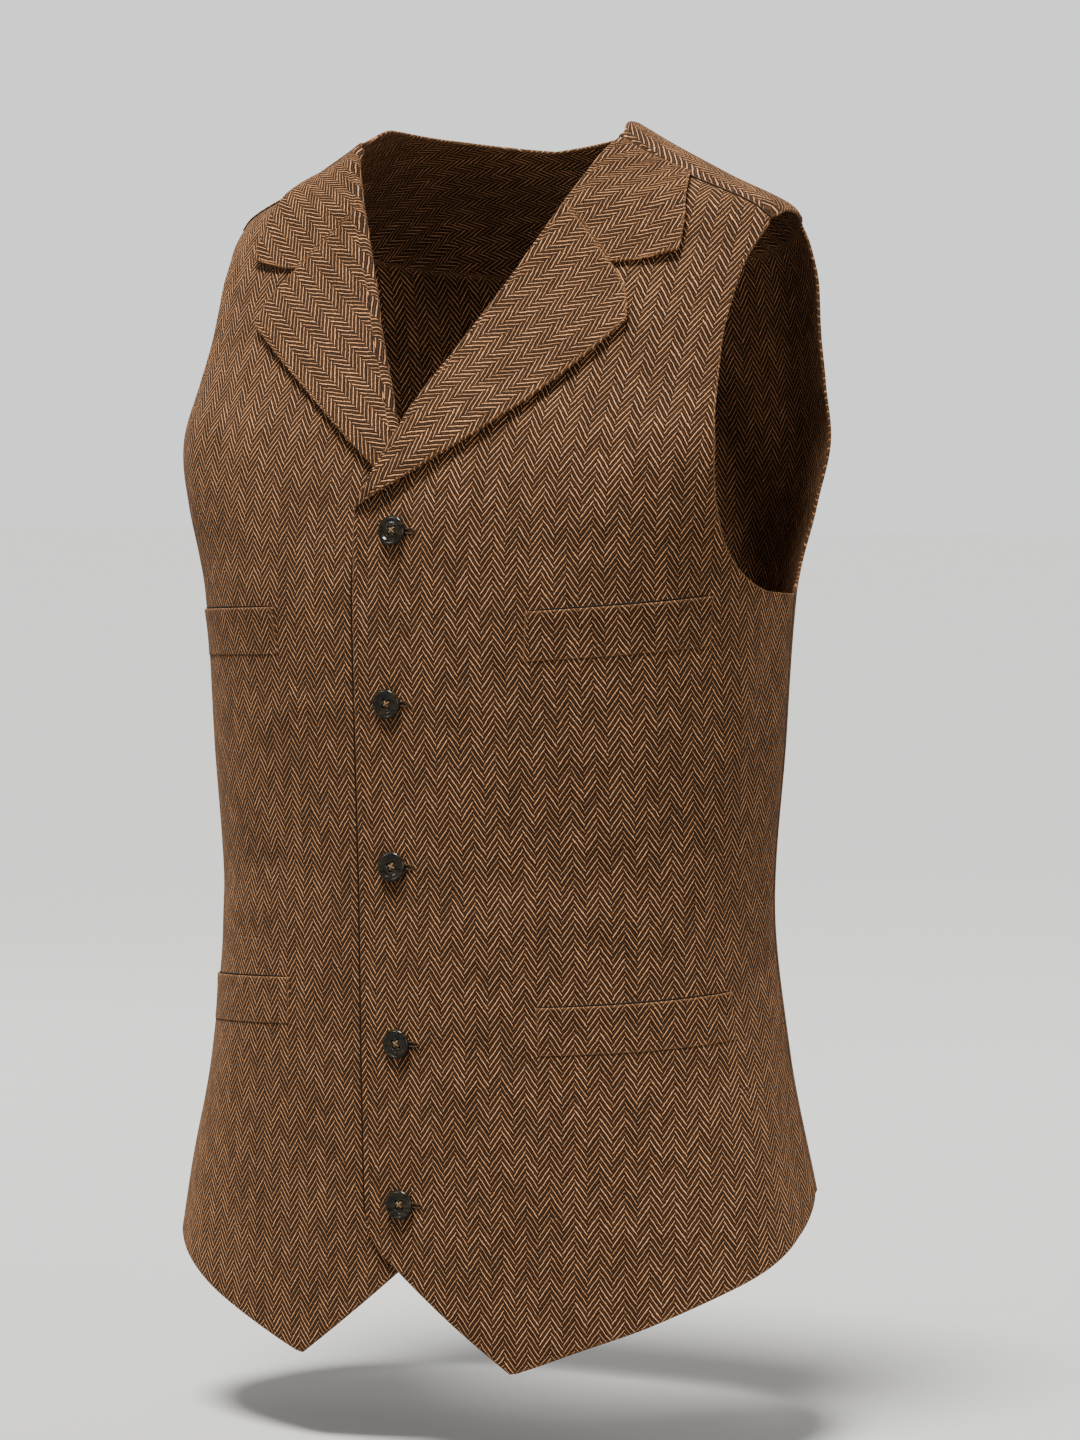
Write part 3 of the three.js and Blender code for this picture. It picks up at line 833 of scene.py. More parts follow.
def make_seam_shades():
    """Painted shade in the grooves of the shoulder, side and yoke seams: thin dark tubes between two
    rims.
    """
    t = np.linspace(0, 1, 120)
    shoulder = shoulder_seam(mix(0.02, 0.98, t))
    shoulder_height = yoke_lift(0 * t, on_figure(shoulder)) + SHOULDER_SEAM_SHADE_HEIGHT
    side = np.stack([np.full_like(t, SIDE_TURN), mix(SIDE_HEM_Z, UNDERARM_Z, t)], -1)
    back_z = mix(YOKE_TIP.z, YOKE_BACK_Z, np.sin(np.pi * t / 2))
    half_back = np.stack([mix(YOKE_TIP.turn, 1, t), back_z], -1)
    for name, place, height, radius in (
        ("shoulder", shoulder, shoulder_height, SHOULDER_SEAM_SHADE_RADIUS),
        ("side", side, SEAM_SHADE_HEIGHT + 0 * t, SEAM_SHADE_RADIUS),
        ("back", half_back, SEAM_SHADE_HEIGHT + 0 * t, SEAM_SHADE_RADIUS),
    ):
        path = lifted(place, height)
        for way, mirrored in (("left", 1), ("right", -1)):
            # Each tube, named after its seam, is painted shade
            shade_tube(f"seam_{name}_{way}", path * [mirrored, 1, 1], radius)


def make_edge_shade():
    """A painted shadow on the right front beside the left front's edge: a thin dark tube."""
    t = np.linspace(0, 1, 160)
    place = place_at(-OVERLAP - EDGE_SHADE_OFFSET + 0 * t, mix(EDGE_FOOT_Z, EDGE_SHADE_TOP, t))
    radius = EDGE_SHADE_RADIUS * np.sin(math.pi * t) ** 0.1
    shade_tube("seam_front_edge", lifted(place, EDGE_SHADE_HEIGHT), radius)


def shade_tube(name, path, radius, tone=SHADE_TONE):
    """Painted shade: a thin dark tube standing for the shade in a groove or gap of the cloth."""
    made = new_mesh(name, *tube(path, radius, FINE_SIDES))
    made.data.materials.append(thread_material(f"shade {tone}", tone))
    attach(made, "root")


def make_yoke(sizes):
    u, v = grid(np.linspace(0, 1, YOKE_COLUMNS), steps_for(YOKE_DEPTH, YOKE_STEP))
    place = yoke_place(u, v)
    points = on_figure(place)
    lift = yoke_lift(u, points) + YOKE_BODY * ease(0, YOKE_RIM, edge_distance(points))
    made = cloth_piece("yoke", place, lift, sizes.cloth / MM, yoke_flat(points), 1)


# Lapels and collar ends

# The roll over the front's edge: full where the piece is this wide and never less than this share of
# it, with some play round the edge and a swell beside the fold that fades over its reach
ROLL_FULL_WIDTH = 12
ROLL_LEAST = 0.25
ROLL_PLAY = 0.9
ROLL_REACH = 14
REST_GAP = 0.5
FREE_EDGE_REACH = 20
# The strip tucked inside the front: its reach, its height where the fold begins and its clearance
# below the front higher up, and the heights (z) over which it sinks and grows
TUCK = 9
TUCK_HEIGHT = 1.0
TUCK_CLEAR = 0.4
TUCK_UNDER = (-176, -156)
TUCK_START = (-156, -144)


def fold_flat(place):
    """The flat of a lapel or collar end. The cloth runs on over the fold, so its grain is the front's
    mirrored in the fold: it stands as far outwards of the fold as the front's stands inwards."""
    start, end = flat_place(fold_place(BREAK_Z)), flat_place(fold_place(NECK_Z))
    way = unit(end - start)
    angle = math.atan2(way[0], way[1]) + math.atan(FOLD_SLOPE)
    flat = flat_place(place) - end
    across = flat[..., 0] * math.cos(angle) - flat[..., 1] * math.sin(angle)
    along = flat[..., 0] * math.sin(angle) + flat[..., 1] * math.cos(angle)
    return np.stack([across, along], -1)


def corner_shares(count, corner):
    """Even steps from 0 to 1, in two runs that meet at the corner."""
    near = max(1, round(count * corner))
    first = np.linspace(0, corner, near + 1)[1:]
    return np.concatenate([first, np.linspace(corner, 1, max(1, count - near) + 1)[1:]])


def roll_round_fold(at, v, centre, radius, run, low, top):
    """The hidden part of a folded piece, a strip inside the front and half an oval round the fold:
    its points, its normals and the length along it, with rows going up the fold."""
    fold = at(0 * v, v)
    origin, normal = on_figure(fold), outward(fold)
    inside = unit(on_figure(at(0 * v + 0.04, v)) - origin)
    inside = unit(inside - normal * spread(np.sum(inside * normal, -1)))
    strip = [(mix(run, centre, t), low) for t in (0, 0.5)]
    arc = [
        (centre - radius * math.cos(a), (top + low) / 2 + (top - low) / 2 * math.sin(a))
        for a in np.linspace(-math.pi / 2, math.pi / 2, 13)
    ]
    columns = [origin + inside * spread(s) + normal * spread(h) for s, h in strip + arc]
    ahead = [unit(b - a) for a, b in zip(columns[:-1], columns[1:])]
    ahead = [ahead[0]] + [unit(a + b) for a, b in zip(ahead[:-1], ahead[1:])] + [ahead[-1]]
    along = unit(np.gradient(origin, axis=0))
    normals = np.stack([unit(np.cross(a, along)) for a in ahead], 1)
    steps = [np.mean(np.linalg.norm(b - a, axis=-1)) for a, b in zip(columns[:-1], columns[1:])]
    return np.stack(columns, 1), normals, np.cumsum([0, *steps])


def rolled_piece(node, at, side, sizes, rows, corner_row, corner, seam_dive):
    """A piece that folds over the edge of its front: from inside the front, round half an oval at the
    fold, and out over the panel to its free edge."""
    half, cloth, roll = sizes.lapel / MM / 2, sizes.cloth / MM, sizes.roll / MM
    v = np.linspace(0, 1, rows)
    fold, edge = at(0 * v, v), at(np.ones(rows), v)
    width = np.linalg.norm(on_figure(edge) - on_figure(fold), axis=-1)
    scale = np.clip(width / ROLL_FULL_WIDTH, ROLL_LEAST, 1)
    slim = np.minimum(1, scale + 0.2)
    sink = seam_dive * ease(0.8, 1, v)
    z = fold[..., 1]
    first_lift = side_lift(fold, side, sizes)
    centre = (sizes.fold_retreat / MM + ROLL_PLAY) * scale
    low = first_lift + mix(TUCK_HEIGHT, -half - TUCK_CLEAR, ease(*TUCK_UNDER, z))
    top = first_lift + cloth + (REST_GAP + roll * scale) + half - sink
    run = mix(centre - 0.2, TUCK, ease(*TUCK_START, z))
    radius = centre - half * slim
    roll_points, roll_normals, roll_length = roll_round_fold(at, v, centre, radius, run, low, top)

    count = max(6, round(np.max(width) / LAPEL_STEP))
    first = centre / np.maximum(width, centre * 1.5)
    share = corner_shares(count, (corner - first[corner_row]) / (1 - first[corner_row]))
    u = first[:, None] + (1 - first[:, None]) * share[None, :]
    place = at(u, np.broadcast_to(v[:, None], u.shape))
    from_fold = u * width[:, None]
    from_edge = width[:, None] - from_fold
    base = side_lift(place, side, sizes) + cloth
    swell = hump(np.maximum(from_fold - centre[:, None], 0), ROLL_REACH)
    gap = REST_GAP + roll * scale[:, None] * swell
    stand = sizes.free_edge_lift / MM * scale[:, None] * hump(from_edge, FREE_EDGE_REACH)
    normals = outward(place)
    points = on_figure(place) + normals * spread(base + gap + stand - sink[:, None] + half)

    turned = math.atan(FOLD_SLOPE)
    over = np.array([math.cos(turned), math.sin(turned)])
    behind = centre[:, None] + roll_length - roll_length[-1]
    roll_flat = fold_flat(fold)[:, None] + spread(behind) * over
    points = np.concatenate([roll_points, points], axis=1)
    normals = np.concatenate([roll_normals, normals], axis=1)
    flat = np.concatenate([roll_flat, fold_flat(place)], axis=1)
    halves = half * slim[:, None] * np.ones(points.shape[1])
    return add_wall(node, points, normals, halves, flat, side)


def lapel_place(u, v, bow):
    """A lapel between its foot, the gorge seam with the notch, the fold and the outer edge."""
    gorge, notch = place_at(GORGE.x, GORGE.z), place_at(NOTCH.x, NOTCH.z)
    start, foot = fold_place(LAPEL_FOOT.z), place_at(LAPEL_FOOT.x, LAPEL_FOOT.z)

    def top(t):
        seam = lambda s: between(gorge, notch, s)
        return split(t, LAPEL_NOTCH_CORNER, seam, lambda s: bend(NOTCH, LAPEL_TOP_BOW, LAPEL_TIP, s))

    return patch(
        lambda t: between(start, foot, t),
        top,
        lambda t: fold_place(mix(LAPEL_FOOT.z, GORGE.z, t)),
        lambda t: bend(LAPEL_FOOT, bow, LAPEL_TIP, t),
        u,
        v,
    )


def collar_place(u, v):
    """A collar end between the gorge seam with the notch, the shoulder seam, the fold and its edge."""
    apart = np.array([0, GORGE_GAP])
    gorge, notch = place_at(GORGE.x, GORGE.z) + apart, place_at(NOTCH.x, NOTCH.z) + apart
    reach = (COLLAR_OUTER_Z - NECK_Z) / (TIP.z - NECK_Z)
    corner = Spot(COLLAR_CORNER.x, COLLAR_CORNER.z + GORGE_GAP)
    end = Spot(*on_figure(shoulder_seam(reach))[[0, 2]])

    def bottom(t):
        seam = lambda s: between(gorge, notch, s)
        edge = lambda s: bend(NOTCH, COLLAR_LOWER_BOW, COLLAR_CORNER, s) + apart
        return split(t, COLLAR_NOTCH_CORNER, seam, edge)

    return patch(
        bottom,
        lambda t: shoulder_seam(reach * np.asarray(t, float)),
        lambda t: fold_place(mix(gorge[1], NECK_Z, t)),
        lambda t: bend(corner, COLLAR_OUTER_BOW, end, t),
        u,
        v,
    )


def make_lapel(side, sizes):
    bow = LAPEL_BOW_LEFT if side > 0 else LAPEL_BOW_RIGHT
    at = lambda u, v: lapel_place(u, v, bow)
    made = rolled_piece(sided("lapel", side), at, side, sizes, LAPEL_ROWS, -1, LAPEL_NOTCH_CORNER, 0)
    front = sided("front", side) + "_cloth"


def make_collar(side, sizes):
    node = sided("collar", side)
    made = rolled_piece(node, collar_place, side, sizes, COLLAR_ROWS, 0, COLLAR_NOTCH_CORNER, 1.2)
    front = sided("front", side) + "_cloth"


# Welts

# A welt is thinner at its foot, which is sunk into the front, and its top edge stands off a little
WELT_FOOT_SHARE = 0.55
WELT_MORE = 0.45
WELT_SINK = 0.2
WELT_STAND = 0.4
# A dark tube of painted shade round the welt: its radius, how far outside the welt's edge it runs, and
# its tone as a share of the thread's colour
WeltLine = namedtuple("WeltLine", "radius outside tone")
MOUTH_SHADE = WeltLine(0.66, 0.5, 0.04)
FOOT_SEAM_SHADE = WeltLine(0.3, 0.1, 0.16)
INNER_SEAM_SHADE = WeltLine(0.26, 0, 0.16)
OUTER_SEAM_SHADE = WeltLine(0.34, 0, 0.16)


def make_welt(welt, sizes):
    """A welt: a strip on its front whose top edge stands off the pocket mouth."""
    u, v = grid(np.linspace(0, 1, WELT_COLUMNS), np.linspace(0, 1, WELT_ROWS))
    turn = mix(welt.inner, welt.outer, u)
    z = mix(welt.bottom, welt.top, v) + welt.rise * u
    place = np.stack([turn, z], -1)
    thick = sizes.welt / MM * (WELT_FOOT_SHARE + WELT_MORE * ease(0.1, 0.9, v))
    lift = skin_height(place, welt.side, sizes) - WELT_SINK + WELT_STAND * ease(0.6, 1, v)
    made = cloth_piece("welt_" + welt.name, place, lift, thick, flat_place(place), welt.side)
    length = float(np.linalg.norm(np.diff(on_figure(place)[0], axis=0), axis=-1).sum()) * MM
    front = sided("front", welt.side) + "_cloth"
    make_welt_shades(welt, sizes)


def make_welt_shades(welt, sizes):
    """Painted shade round a welt, as dark tubes sunk into the cloth: the shadow in the pocket mouth
    along its top edge, and the shade in the seam grooves down its ends and along its foot."""
    t = np.linspace(0, 1, WELT_COLUMNS)
    across, upward = mix(welt.inner, welt.outer, t), mix(welt.bottom, welt.top, t)
    sides = {
        "mouth": (across, welt.top + MOUTH_SHADE.outside + welt.rise * t, MOUTH_SHADE),
        "foot": (across, welt.bottom - FOOT_SEAM_SHADE.outside + welt.rise * t, FOOT_SEAM_SHADE),
        "inner": (welt.inner + 0 * t, upward, INNER_SEAM_SHADE),
        "outer": (welt.outer + 0 * t, upward + welt.rise, OUTER_SEAM_SHADE),
    }
    for part, (turn, z, line) in sides.items():
        place = np.stack([turn, z], -1)
        path = lifted(place, skin_height(place, welt.side, sizes) - 0.5 * line.radius)
        path[:, 0] *= welt.side
        radius = line.radius * np.sin(math.pi * t) ** 0.2
        # Each tube is painted shade, named after the side of the welt it runs along
        shade_tube(f"welt_{welt.name}_{part}", path, radius, line.tone)


# Buttons, their thread and buttonholes

def button_frame(button, sizes):
    """The button's seat: its place on the left front and its own right, up and outward directions,
    leaned and tilted a little as listed."""
    place = place_at(button.x, button.z)
    normal = outward(place)
    seat = on_figure(place) + normal * skin_height(place[None], 1, sizes)[0]
    up = unit(UP - normal * normal[2])
    right = unit(np.cross(up, normal))
    tilt, lean = math.radians(button.tilt), math.radians(button.lean)
    outward_way = unit(normal + up * math.sin(tilt) + right * math.sin(lean))
    up = unit(up - outward_way * np.dot(up, outward_way))
    right = np.cross(up, outward_way)
    spin = math.radians(button.spin)
    turned_right = right * math.cos(spin) + up * math.sin(spin)
    turned_up = up * math.cos(spin) - right * math.sin(spin)
    return seat, turned_right, turned_up, outward_way


def put_in(frame_of, local):
    seat, right, up, out = frame_of
    return seat + local[..., [0]] * right + local[..., [1]] * up + local[..., [2]] * out


ButtonRing = namedtuple("ButtonRing", "radius height")
BUTTON_TOP = [
    ButtonRing(0, 2.1), ButtonRing(3.7, 2.1), ButtonRing(4.7, 2.18), ButtonRing(5.4, 2.5),
    ButtonRing(6.1, 2.98), ButtonRing(6.9, 3.2), ButtonRing(7.5, 3.06), ButtonRing(8, 2.6),
]
BUTTON_UNDER = [
    ButtonRing(8.25, 1.9), ButtonRing(8.15, 1.2), ButtonRing(7.5, 0.5), ButtonRing(6.2, 0.1),
    ButtonRing(0, 0),
]
AXIS_RADIUS = 0.08
HOLE_RADIUS = 0.85
HOLE_OFFSET = 1.7
HOLE_DEPTH = 1.7
HOLE_SLOPE = 0.16
BUTTON_SEGMENTS = 96
BUTTON_STAND = 0.7
# The thread: strands side by side, arched from hole to hole, those of the first way lifted over the
# others, and the stem below the button
STRANDS = (-0.3, 0.02, 0.3)
STRAND_RADIUS = 0.19
ARCH_FOOT = 0.7
ARCH_RISE = 1.75
CROSSING_LIFT = 0.16
STEM_RADIUS = 1.6
STEM_SIDES = 14
# The buttonhole, from the button's middle towards the wearer's left
BUTTONHOLE_START = -1.0
BUTTONHOLE_END = 13.0
BUTTONHOLE_HALF = 1.1
EYE_WIDTH = 2
EYE_INSET = 1.6
STITCHES = 44
STITCH_RADIUS = 0.42
STITCH_SWELL = 0.1
# The radius of the painted shade in the slit
SLIT_SHADE_RADIUS = 0.4


def button_rings():
    """Radius and height along the button's section, from the centre of its face to that of its back."""
    top = smooth_line(column(BUTTON_TOP, "radius"), column(BUTTON_TOP, "height"))
    inner = np.linspace(AXIS_RADIUS, BUTTON_TOP[1].radius, 26)
    outer = np.linspace(3.8, BUTTON_TOP[-1].radius, 22)
    under = BUTTON_UNDER[:-1]
    radius = np.concatenate([inner, outer, column(under, "radius"), [2.5, AXIS_RADIUS]])
    height = np.concatenate([top(inner), top(outer), column(under, "height"), [0, 0]])
    return radius, height, len(inner)


def button_shape():
    """The button turned about its axis, with four holes sunk into its face."""
    radius, height, faced = button_rings()
    angle = np.linspace(0, 2 * math.pi, BUTTON_SEGMENTS, endpoint=False)
    x = radius[:, None] * np.cos(angle)
    y = radius[:, None] * np.sin(angle)
    z = height[:, None] + 0 * x
    for hx in (-HOLE_OFFSET, HOLE_OFFSET):
        for hy in (-HOLE_OFFSET, HOLE_OFFSET):
            distance = np.hypot(x - hx, y - hy)
            sunk = HOLE_DEPTH * (1 - ease(HOLE_RADIUS - HOLE_SLOPE, HOLE_RADIUS + HOLE_SLOPE, distance))
            z[:faced] -= sunk[:faced]
    rings = len(radius)
    points = np.concatenate([np.stack([x, y, z], -1).reshape(-1, 3), [[0, 0, height[0]], [0, 0, 0]]])
    following = np.roll(np.arange(BUTTON_SEGMENTS), -1)
    ring = np.arange(BUTTON_SEGMENTS)
    faces = []
    for k in range(rings - 1):
        a, b = k * BUTTON_SEGMENTS, (k + 1) * BUTTON_SEGMENTS
        faces += np.stack([a + ring, b + ring, b + following, a + following], -1).tolist()
    front, back = rings * BUTTON_SEGMENTS, rings * BUTTON_SEGMENTS + 1
    faces += np.stack([ring * 0 + front, ring, following], -1).tolist()
    last = (rings - 1) * BUTTON_SEGMENTS
    faces += np.stack([ring * 0 + back, last + following, last + ring], -1).tolist()
    return points, faces


def tube(path, radius, sides):
    """A round tube along a path: at each point a circle across the way ahead. Ends are closed."""
    ahead = unit(np.gradient(path, axis=0))
    across = unit(np.cross(ahead, np.array([0.31, 0.57, 0.76])))
    other = np.cross(ahead, across)
    angle = np.linspace(0, 2 * math.pi, sides, endpoint=False)
    radius = np.broadcast_to(radius, len(path))
    ring = across[:, None] * np.cos(angle)[:, None] + other[:, None] * np.sin(angle)[:, None]
    points = path[:, None] + radius[:, None, None] * ring
    count = len(path)
    following = np.roll(np.arange(sides), -1)
    start = np.arange(count - 1)[:, None] * sides
    a = start + np.arange(sides)
    b = start + following
    quads = np.stack([a, b, b + sides, a + sides], -1).reshape(-1, 4)
    caps = [list(range(sides))[::-1], [(count - 1) * sides + k for k in range(sides)]]
    return points.reshape(-1, 3), quads.tolist() + caps


def joined(parts):
    """Several meshes' vertices and faces as one."""
    vertices, faces, start = [], [], 0
    for points, quads in parts:
        vertices.append(points)
        faces += [[start + i for i in face] for face in quads]
        start += len(points)
    return np.concatenate(vertices), faces


def thread_shape():
    """Crossed stitches between opposite holes, three strands each way, and the stem under the button."""
    parts = []
    t = np.linspace(0, 1, 15)
    arch = BUTTON_STAND + ARCH_FOOT + ARCH_RISE * np.sin(math.pi * t) ** 0.35
    for way in ((1, 1), (1, -1)):
        start = -HOLE_OFFSET * np.array(way, float)
        across = np.array([-way[1], way[0]]) / math.sqrt(2)
        for strand in STRANDS:
            flat = start[None] * (1 - 2 * t)[:, None] + strand * across[None]
            lift = arch + (CROSSING_LIFT if way[1] > 0 else 0) - 0.5 * abs(strand)
            path = np.concatenate([flat, lift[:, None]], 1)
            parts.append(tube(path, STRAND_RADIUS, FINE_SIDES))
    stem = np.array([[0, 0, -0.3], [0, 0, 0.3], [0, 0, BUTTON_STAND + 0.2]])
    parts.append(tube(stem, STEM_RADIUS, STEM_SIDES))
    return joined(parts)


def make_button(number, button, sizes):
    """A horn button, and the thread that holds it on the left front."""
    seat = button_frame(button, sizes)
    points, faces = button_shape()
    name = f"button_{number}"
    disc = new_mesh(name + "_horn", put_in(seat, points + BUTTON_STAND * UP), faces)
    disc.data.materials.append(horn_material())
    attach(disc, "root")
    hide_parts(name)
    points, faces = thread_shape()
    thread = new_mesh(name + "_thread", put_in(seat, points), faces)
    thread.data.materials.append(thread_material())
    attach(thread, "root")


def over_left_front(x, z, height, sizes):
    """Points at a height over the left front's outer skin."""
    place = place_at(x, z)
    return lifted(place, skin_height(place, 1, sizes) + height)


def make_buttonhole(number, button, sizes):
    """A keyhole buttonhole: close stitches round a slit, with painted shade in the slit as a thin dark
    tube, seen past the outer side of the button.
    """
    t = np.linspace(0, 1, 150)
    angle = 2 * math.pi * t
    x = mix(BUTTONHOLE_START, BUTTONHOLE_END, 0.5 - 0.5 * np.cos(angle))
    eye = 1 + 0.5 * hump(x - BUTTONHOLE_END + EYE_INSET, EYE_WIDTH)
    z = BUTTONHOLE_HALF * eye * np.sign(np.sin(angle)) * np.abs(np.sin(angle)) ** 0.5
    path = over_left_front(button.x + x, button.z + z, 0.12, sizes)
    radius = STITCH_RADIUS + STITCH_SWELL * np.sin(2 * math.pi * STITCHES * t)
    made = new_mesh(f"buttonhole_{number}_stitches", *tube(path, radius, FINE_SIDES))
    made.data.materials.append(thread_material("buttonhole stitches", 0.24))
    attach(made, "root")
    x = np.linspace(BUTTONHOLE_START, BUTTONHOLE_END - 0.4, 24)
    slit_shade = over_left_front(button.x + x, button.z + 0 * x, -0.2, sizes)
    shade_tube(f"buttonhole_{number}_slit", slit_shade, SLIT_SHADE_RADIUS)


# Shaders

def socket(tree, name, kind, way, default=None):
    made = tree.interface.new_socket(name=name, in_out=way, socket_type=kind)
    if default is not None:
        made.default_value = default
    return made


def feed(tree, place, value):
    """Gives an input its value: a number, a colour or the socket that feeds it."""
    if isinstance(value, (int, float)):
        place.default_value = value
    elif isinstance(value, (tuple, list)):
        place.default_value = (*value[:3], 1)
    else:
        tree.links.new(value, place)


def maths(tree, operation, *values):
    """A Math node, fed with numbers and sockets."""
    node = tree.nodes.new("ShaderNodeMath")
    node.operation = operation
    for place, value in zip(node.inputs, values):
        feed(tree, place, value)
    return node.outputs[0]


def map_range(tree, values, interpolation="LINEAR"):
    """A Map Range node, with ends of 0 and 1 where none are given."""
    node = tree.nodes.new("ShaderNodeMapRange")
    node.interpolation_type = interpolation
    for name, value in values.items():
        feed(tree, node.inputs[name], value)
    return node.outputs["Result"]


def object_place(tree):
    return tree.nodes.new("ShaderNodeTexCoord").outputs["Object"]


def noise(tree, vector, scale, detail=2.0, roughness=0.5, output="Fac"):
    node = tree.nodes.new("ShaderNodeTexNoise")
    node.inputs["Scale"].default_value = scale
    node.inputs["Detail"].default_value = detail
    node.inputs["Roughness"].default_value = roughness
    tree.links.new(vector, node.inputs["Vector"])
    return node.outputs[output]


def colour_mix(tree, factor, first, second, blend="MIX"):
    node = tree.nodes.new("ShaderNodeMix")
    node.data_type = "RGBA"
    node.blend_type = blend
    for name, value in (("Factor", factor), ("A", first), ("B", second)):
        kind = "VALUE" if name == "Factor" else "RGBA"
        place = next(s for s in node.inputs if s.name == name and s.type == kind)
        feed(tree, place, value)
    return next(s for s in node.outputs if s.type == "RGBA")


def new_group(name):
    tree = bpy.data.node_groups.new(name, "ShaderNodeTree")
    return tree, tree.nodes.new("NodeGroupInput"), tree.nodes.new("NodeGroupOutput")


# The weave's own unevenness, in metres of cloth: how far its strokes wander across and along, the
# width of a ply in the yarn, and the dark border between two stripes
WANDER = (0.0007, 0.0011, 0)
PLY_WIDTH = 0.00045
BORDER_WIDTH = 0.0005


def herringbone_group():
    """Herringbone: slanted strokes that change sides in each stripe. The phase is
    (length + slope * ping-pong(width, stripe)) / pitch, and each turn of it holds a light stroke and a
    brown one, with dark between them."""
    found = bpy.data.node_groups.get("herringbone")
    if found:
        return found
    tree, given, result = new_group("herringbone")
    socket(tree, "Flat", "NodeSocketVector", "INPUT")
    socket(tree, "Stripe", "NodeSocketFloat", "INPUT", 0.0066)
    socket(tree, "Pitch", "NodeSocketFloat", "INPUT", 0.0042)
    socket(tree, "Slope", "NodeSocketFloat", "INPUT", 1.45)
    socket(tree, "Dark", "NodeSocketColor", "INPUT", (0.03, 0.013, 0.005, 1))
    socket(tree, "Middle", "NodeSocketColor", "INPUT", (0.1, 0.05, 0.02, 1))
    socket(tree, "Light", "NodeSocketColor", "INPUT", (0.4, 0.19, 0.08, 1))
    socket(tree, "Color", "NodeSocketColor", "OUTPUT")
    socket(tree, "Height", "NodeSocketFloat", "OUTPUT")
    flat = given.outputs["Flat"]
    shift = tree.nodes.new("ShaderNodeVectorMath")
    shift.operation = "MULTIPLY_ADD"
    tree.links.new(noise(tree, flat, 260, output="Color"), shift.inputs[0])
    shift.inputs[1].default_value = WANDER
    tree.links.new(flat, shift.inputs[2])
    parts = tree.nodes.new("ShaderNodeSeparateXYZ")
    tree.links.new(shift.outputs[0], parts.inputs[0])
    across, along = parts.outputs["X"], parts.outputs["Y"]
    stripe, pitch = given.outputs["Stripe"], given.outputs["Pitch"]
    swing = maths(tree, "PINGPONG", across, stripe)
    number = maths(tree, "FLOOR", maths(tree, "DIVIDE", across, stripe))
    slanted = maths(tree, "MULTIPLY_ADD", swing, given.outputs["Slope"], along)
    half_step = maths(tree, "MULTIPLY", maths(tree, "FLOORED_MODULO", number, 2.0), 0.5)
    phase = maths(tree, "ADD", maths(tree, "DIVIDE", slanted, pitch), half_step)
    in_light = maths(tree, "LESS_THAN", maths(tree, "FRACT", phase), 0.5)
    wave = maths(tree, "FRACT", maths(tree, "MULTIPLY", phase, 2.0))
    from_middle = maths(tree, "ABSOLUTE", maths(tree, "MULTIPLY_ADD", wave, 2.0, -1.0))
    stroke = maths(tree, "SUBTRACT", 1.0, from_middle)
    ply = maths(tree, "PINGPONG", maths(tree, "MULTIPLY_ADD", along, 0.6, across), PLY_WIDTH)
    nub = maths(tree, "MULTIPLY_ADD", ply, 900.0, -0.22)
    fibres = noise(tree, shift.outputs[0], 900, detail=3, roughness=0.65)
    rough = maths(tree, "MULTIPLY_ADD", fibres, 1.2, -0.6)
    raised = maths(tree, "ADD", maths(tree, "ADD", stroke, nub), rough)
    level = map_range(tree, {"Value": raised, "From Min": 0.4, "From Max": 0.78}, "SMOOTHSTEP")
    from_border = maths(tree, "MINIMUM", swing, maths(tree, "SUBTRACT", stripe, swing))
    border = map_range(tree, {"Value": from_border, "From Max": BORDER_WIDTH, "To Min": 0.55})
    mask = maths(tree, "MULTIPLY", level, border)
    yarn = colour_mix(tree, in_light, given.outputs["Middle"], given.outputs["Light"])
    colour = colour_mix(tree, mask, given.outputs["Dark"], yarn)
    key = tree.nodes.new("ShaderNodeCombineXYZ")
    tree.links.new(maths(tree, "FLOOR", phase), key.inputs[0])
    tree.links.new(number, key.inputs[1])
    chance = tree.nodes.new("ShaderNodeTexWhiteNoise")
    chance.noise_dimensions = "2D"
    tree.links.new(key.outputs[0], chance.inputs["Vector"])
    tone = maths(tree, "MULTIPLY_ADD", chance.outputs["Value"], 0.7, 0.65)
    patchy = maths(tree, "MULTIPLY_ADD", noise(tree, flat, 22, detail=3), 0.3, 0.85)
    shade = tree.nodes.new("ShaderNodeVectorMath")
    shade.operation = "SCALE"
    tree.links.new(colour, shade.inputs[0])
    tree.links.new(maths(tree, "MULTIPLY", tone, patchy), shade.inputs["Scale"])
    tree.links.new(shade.outputs[0], result.inputs["Color"])
    height = maths(tree, "ADD", mask, maths(tree, "MULTIPLY", fibres, 0.4))
    tree.links.new(height, result.inputs["Height"])
    return tree


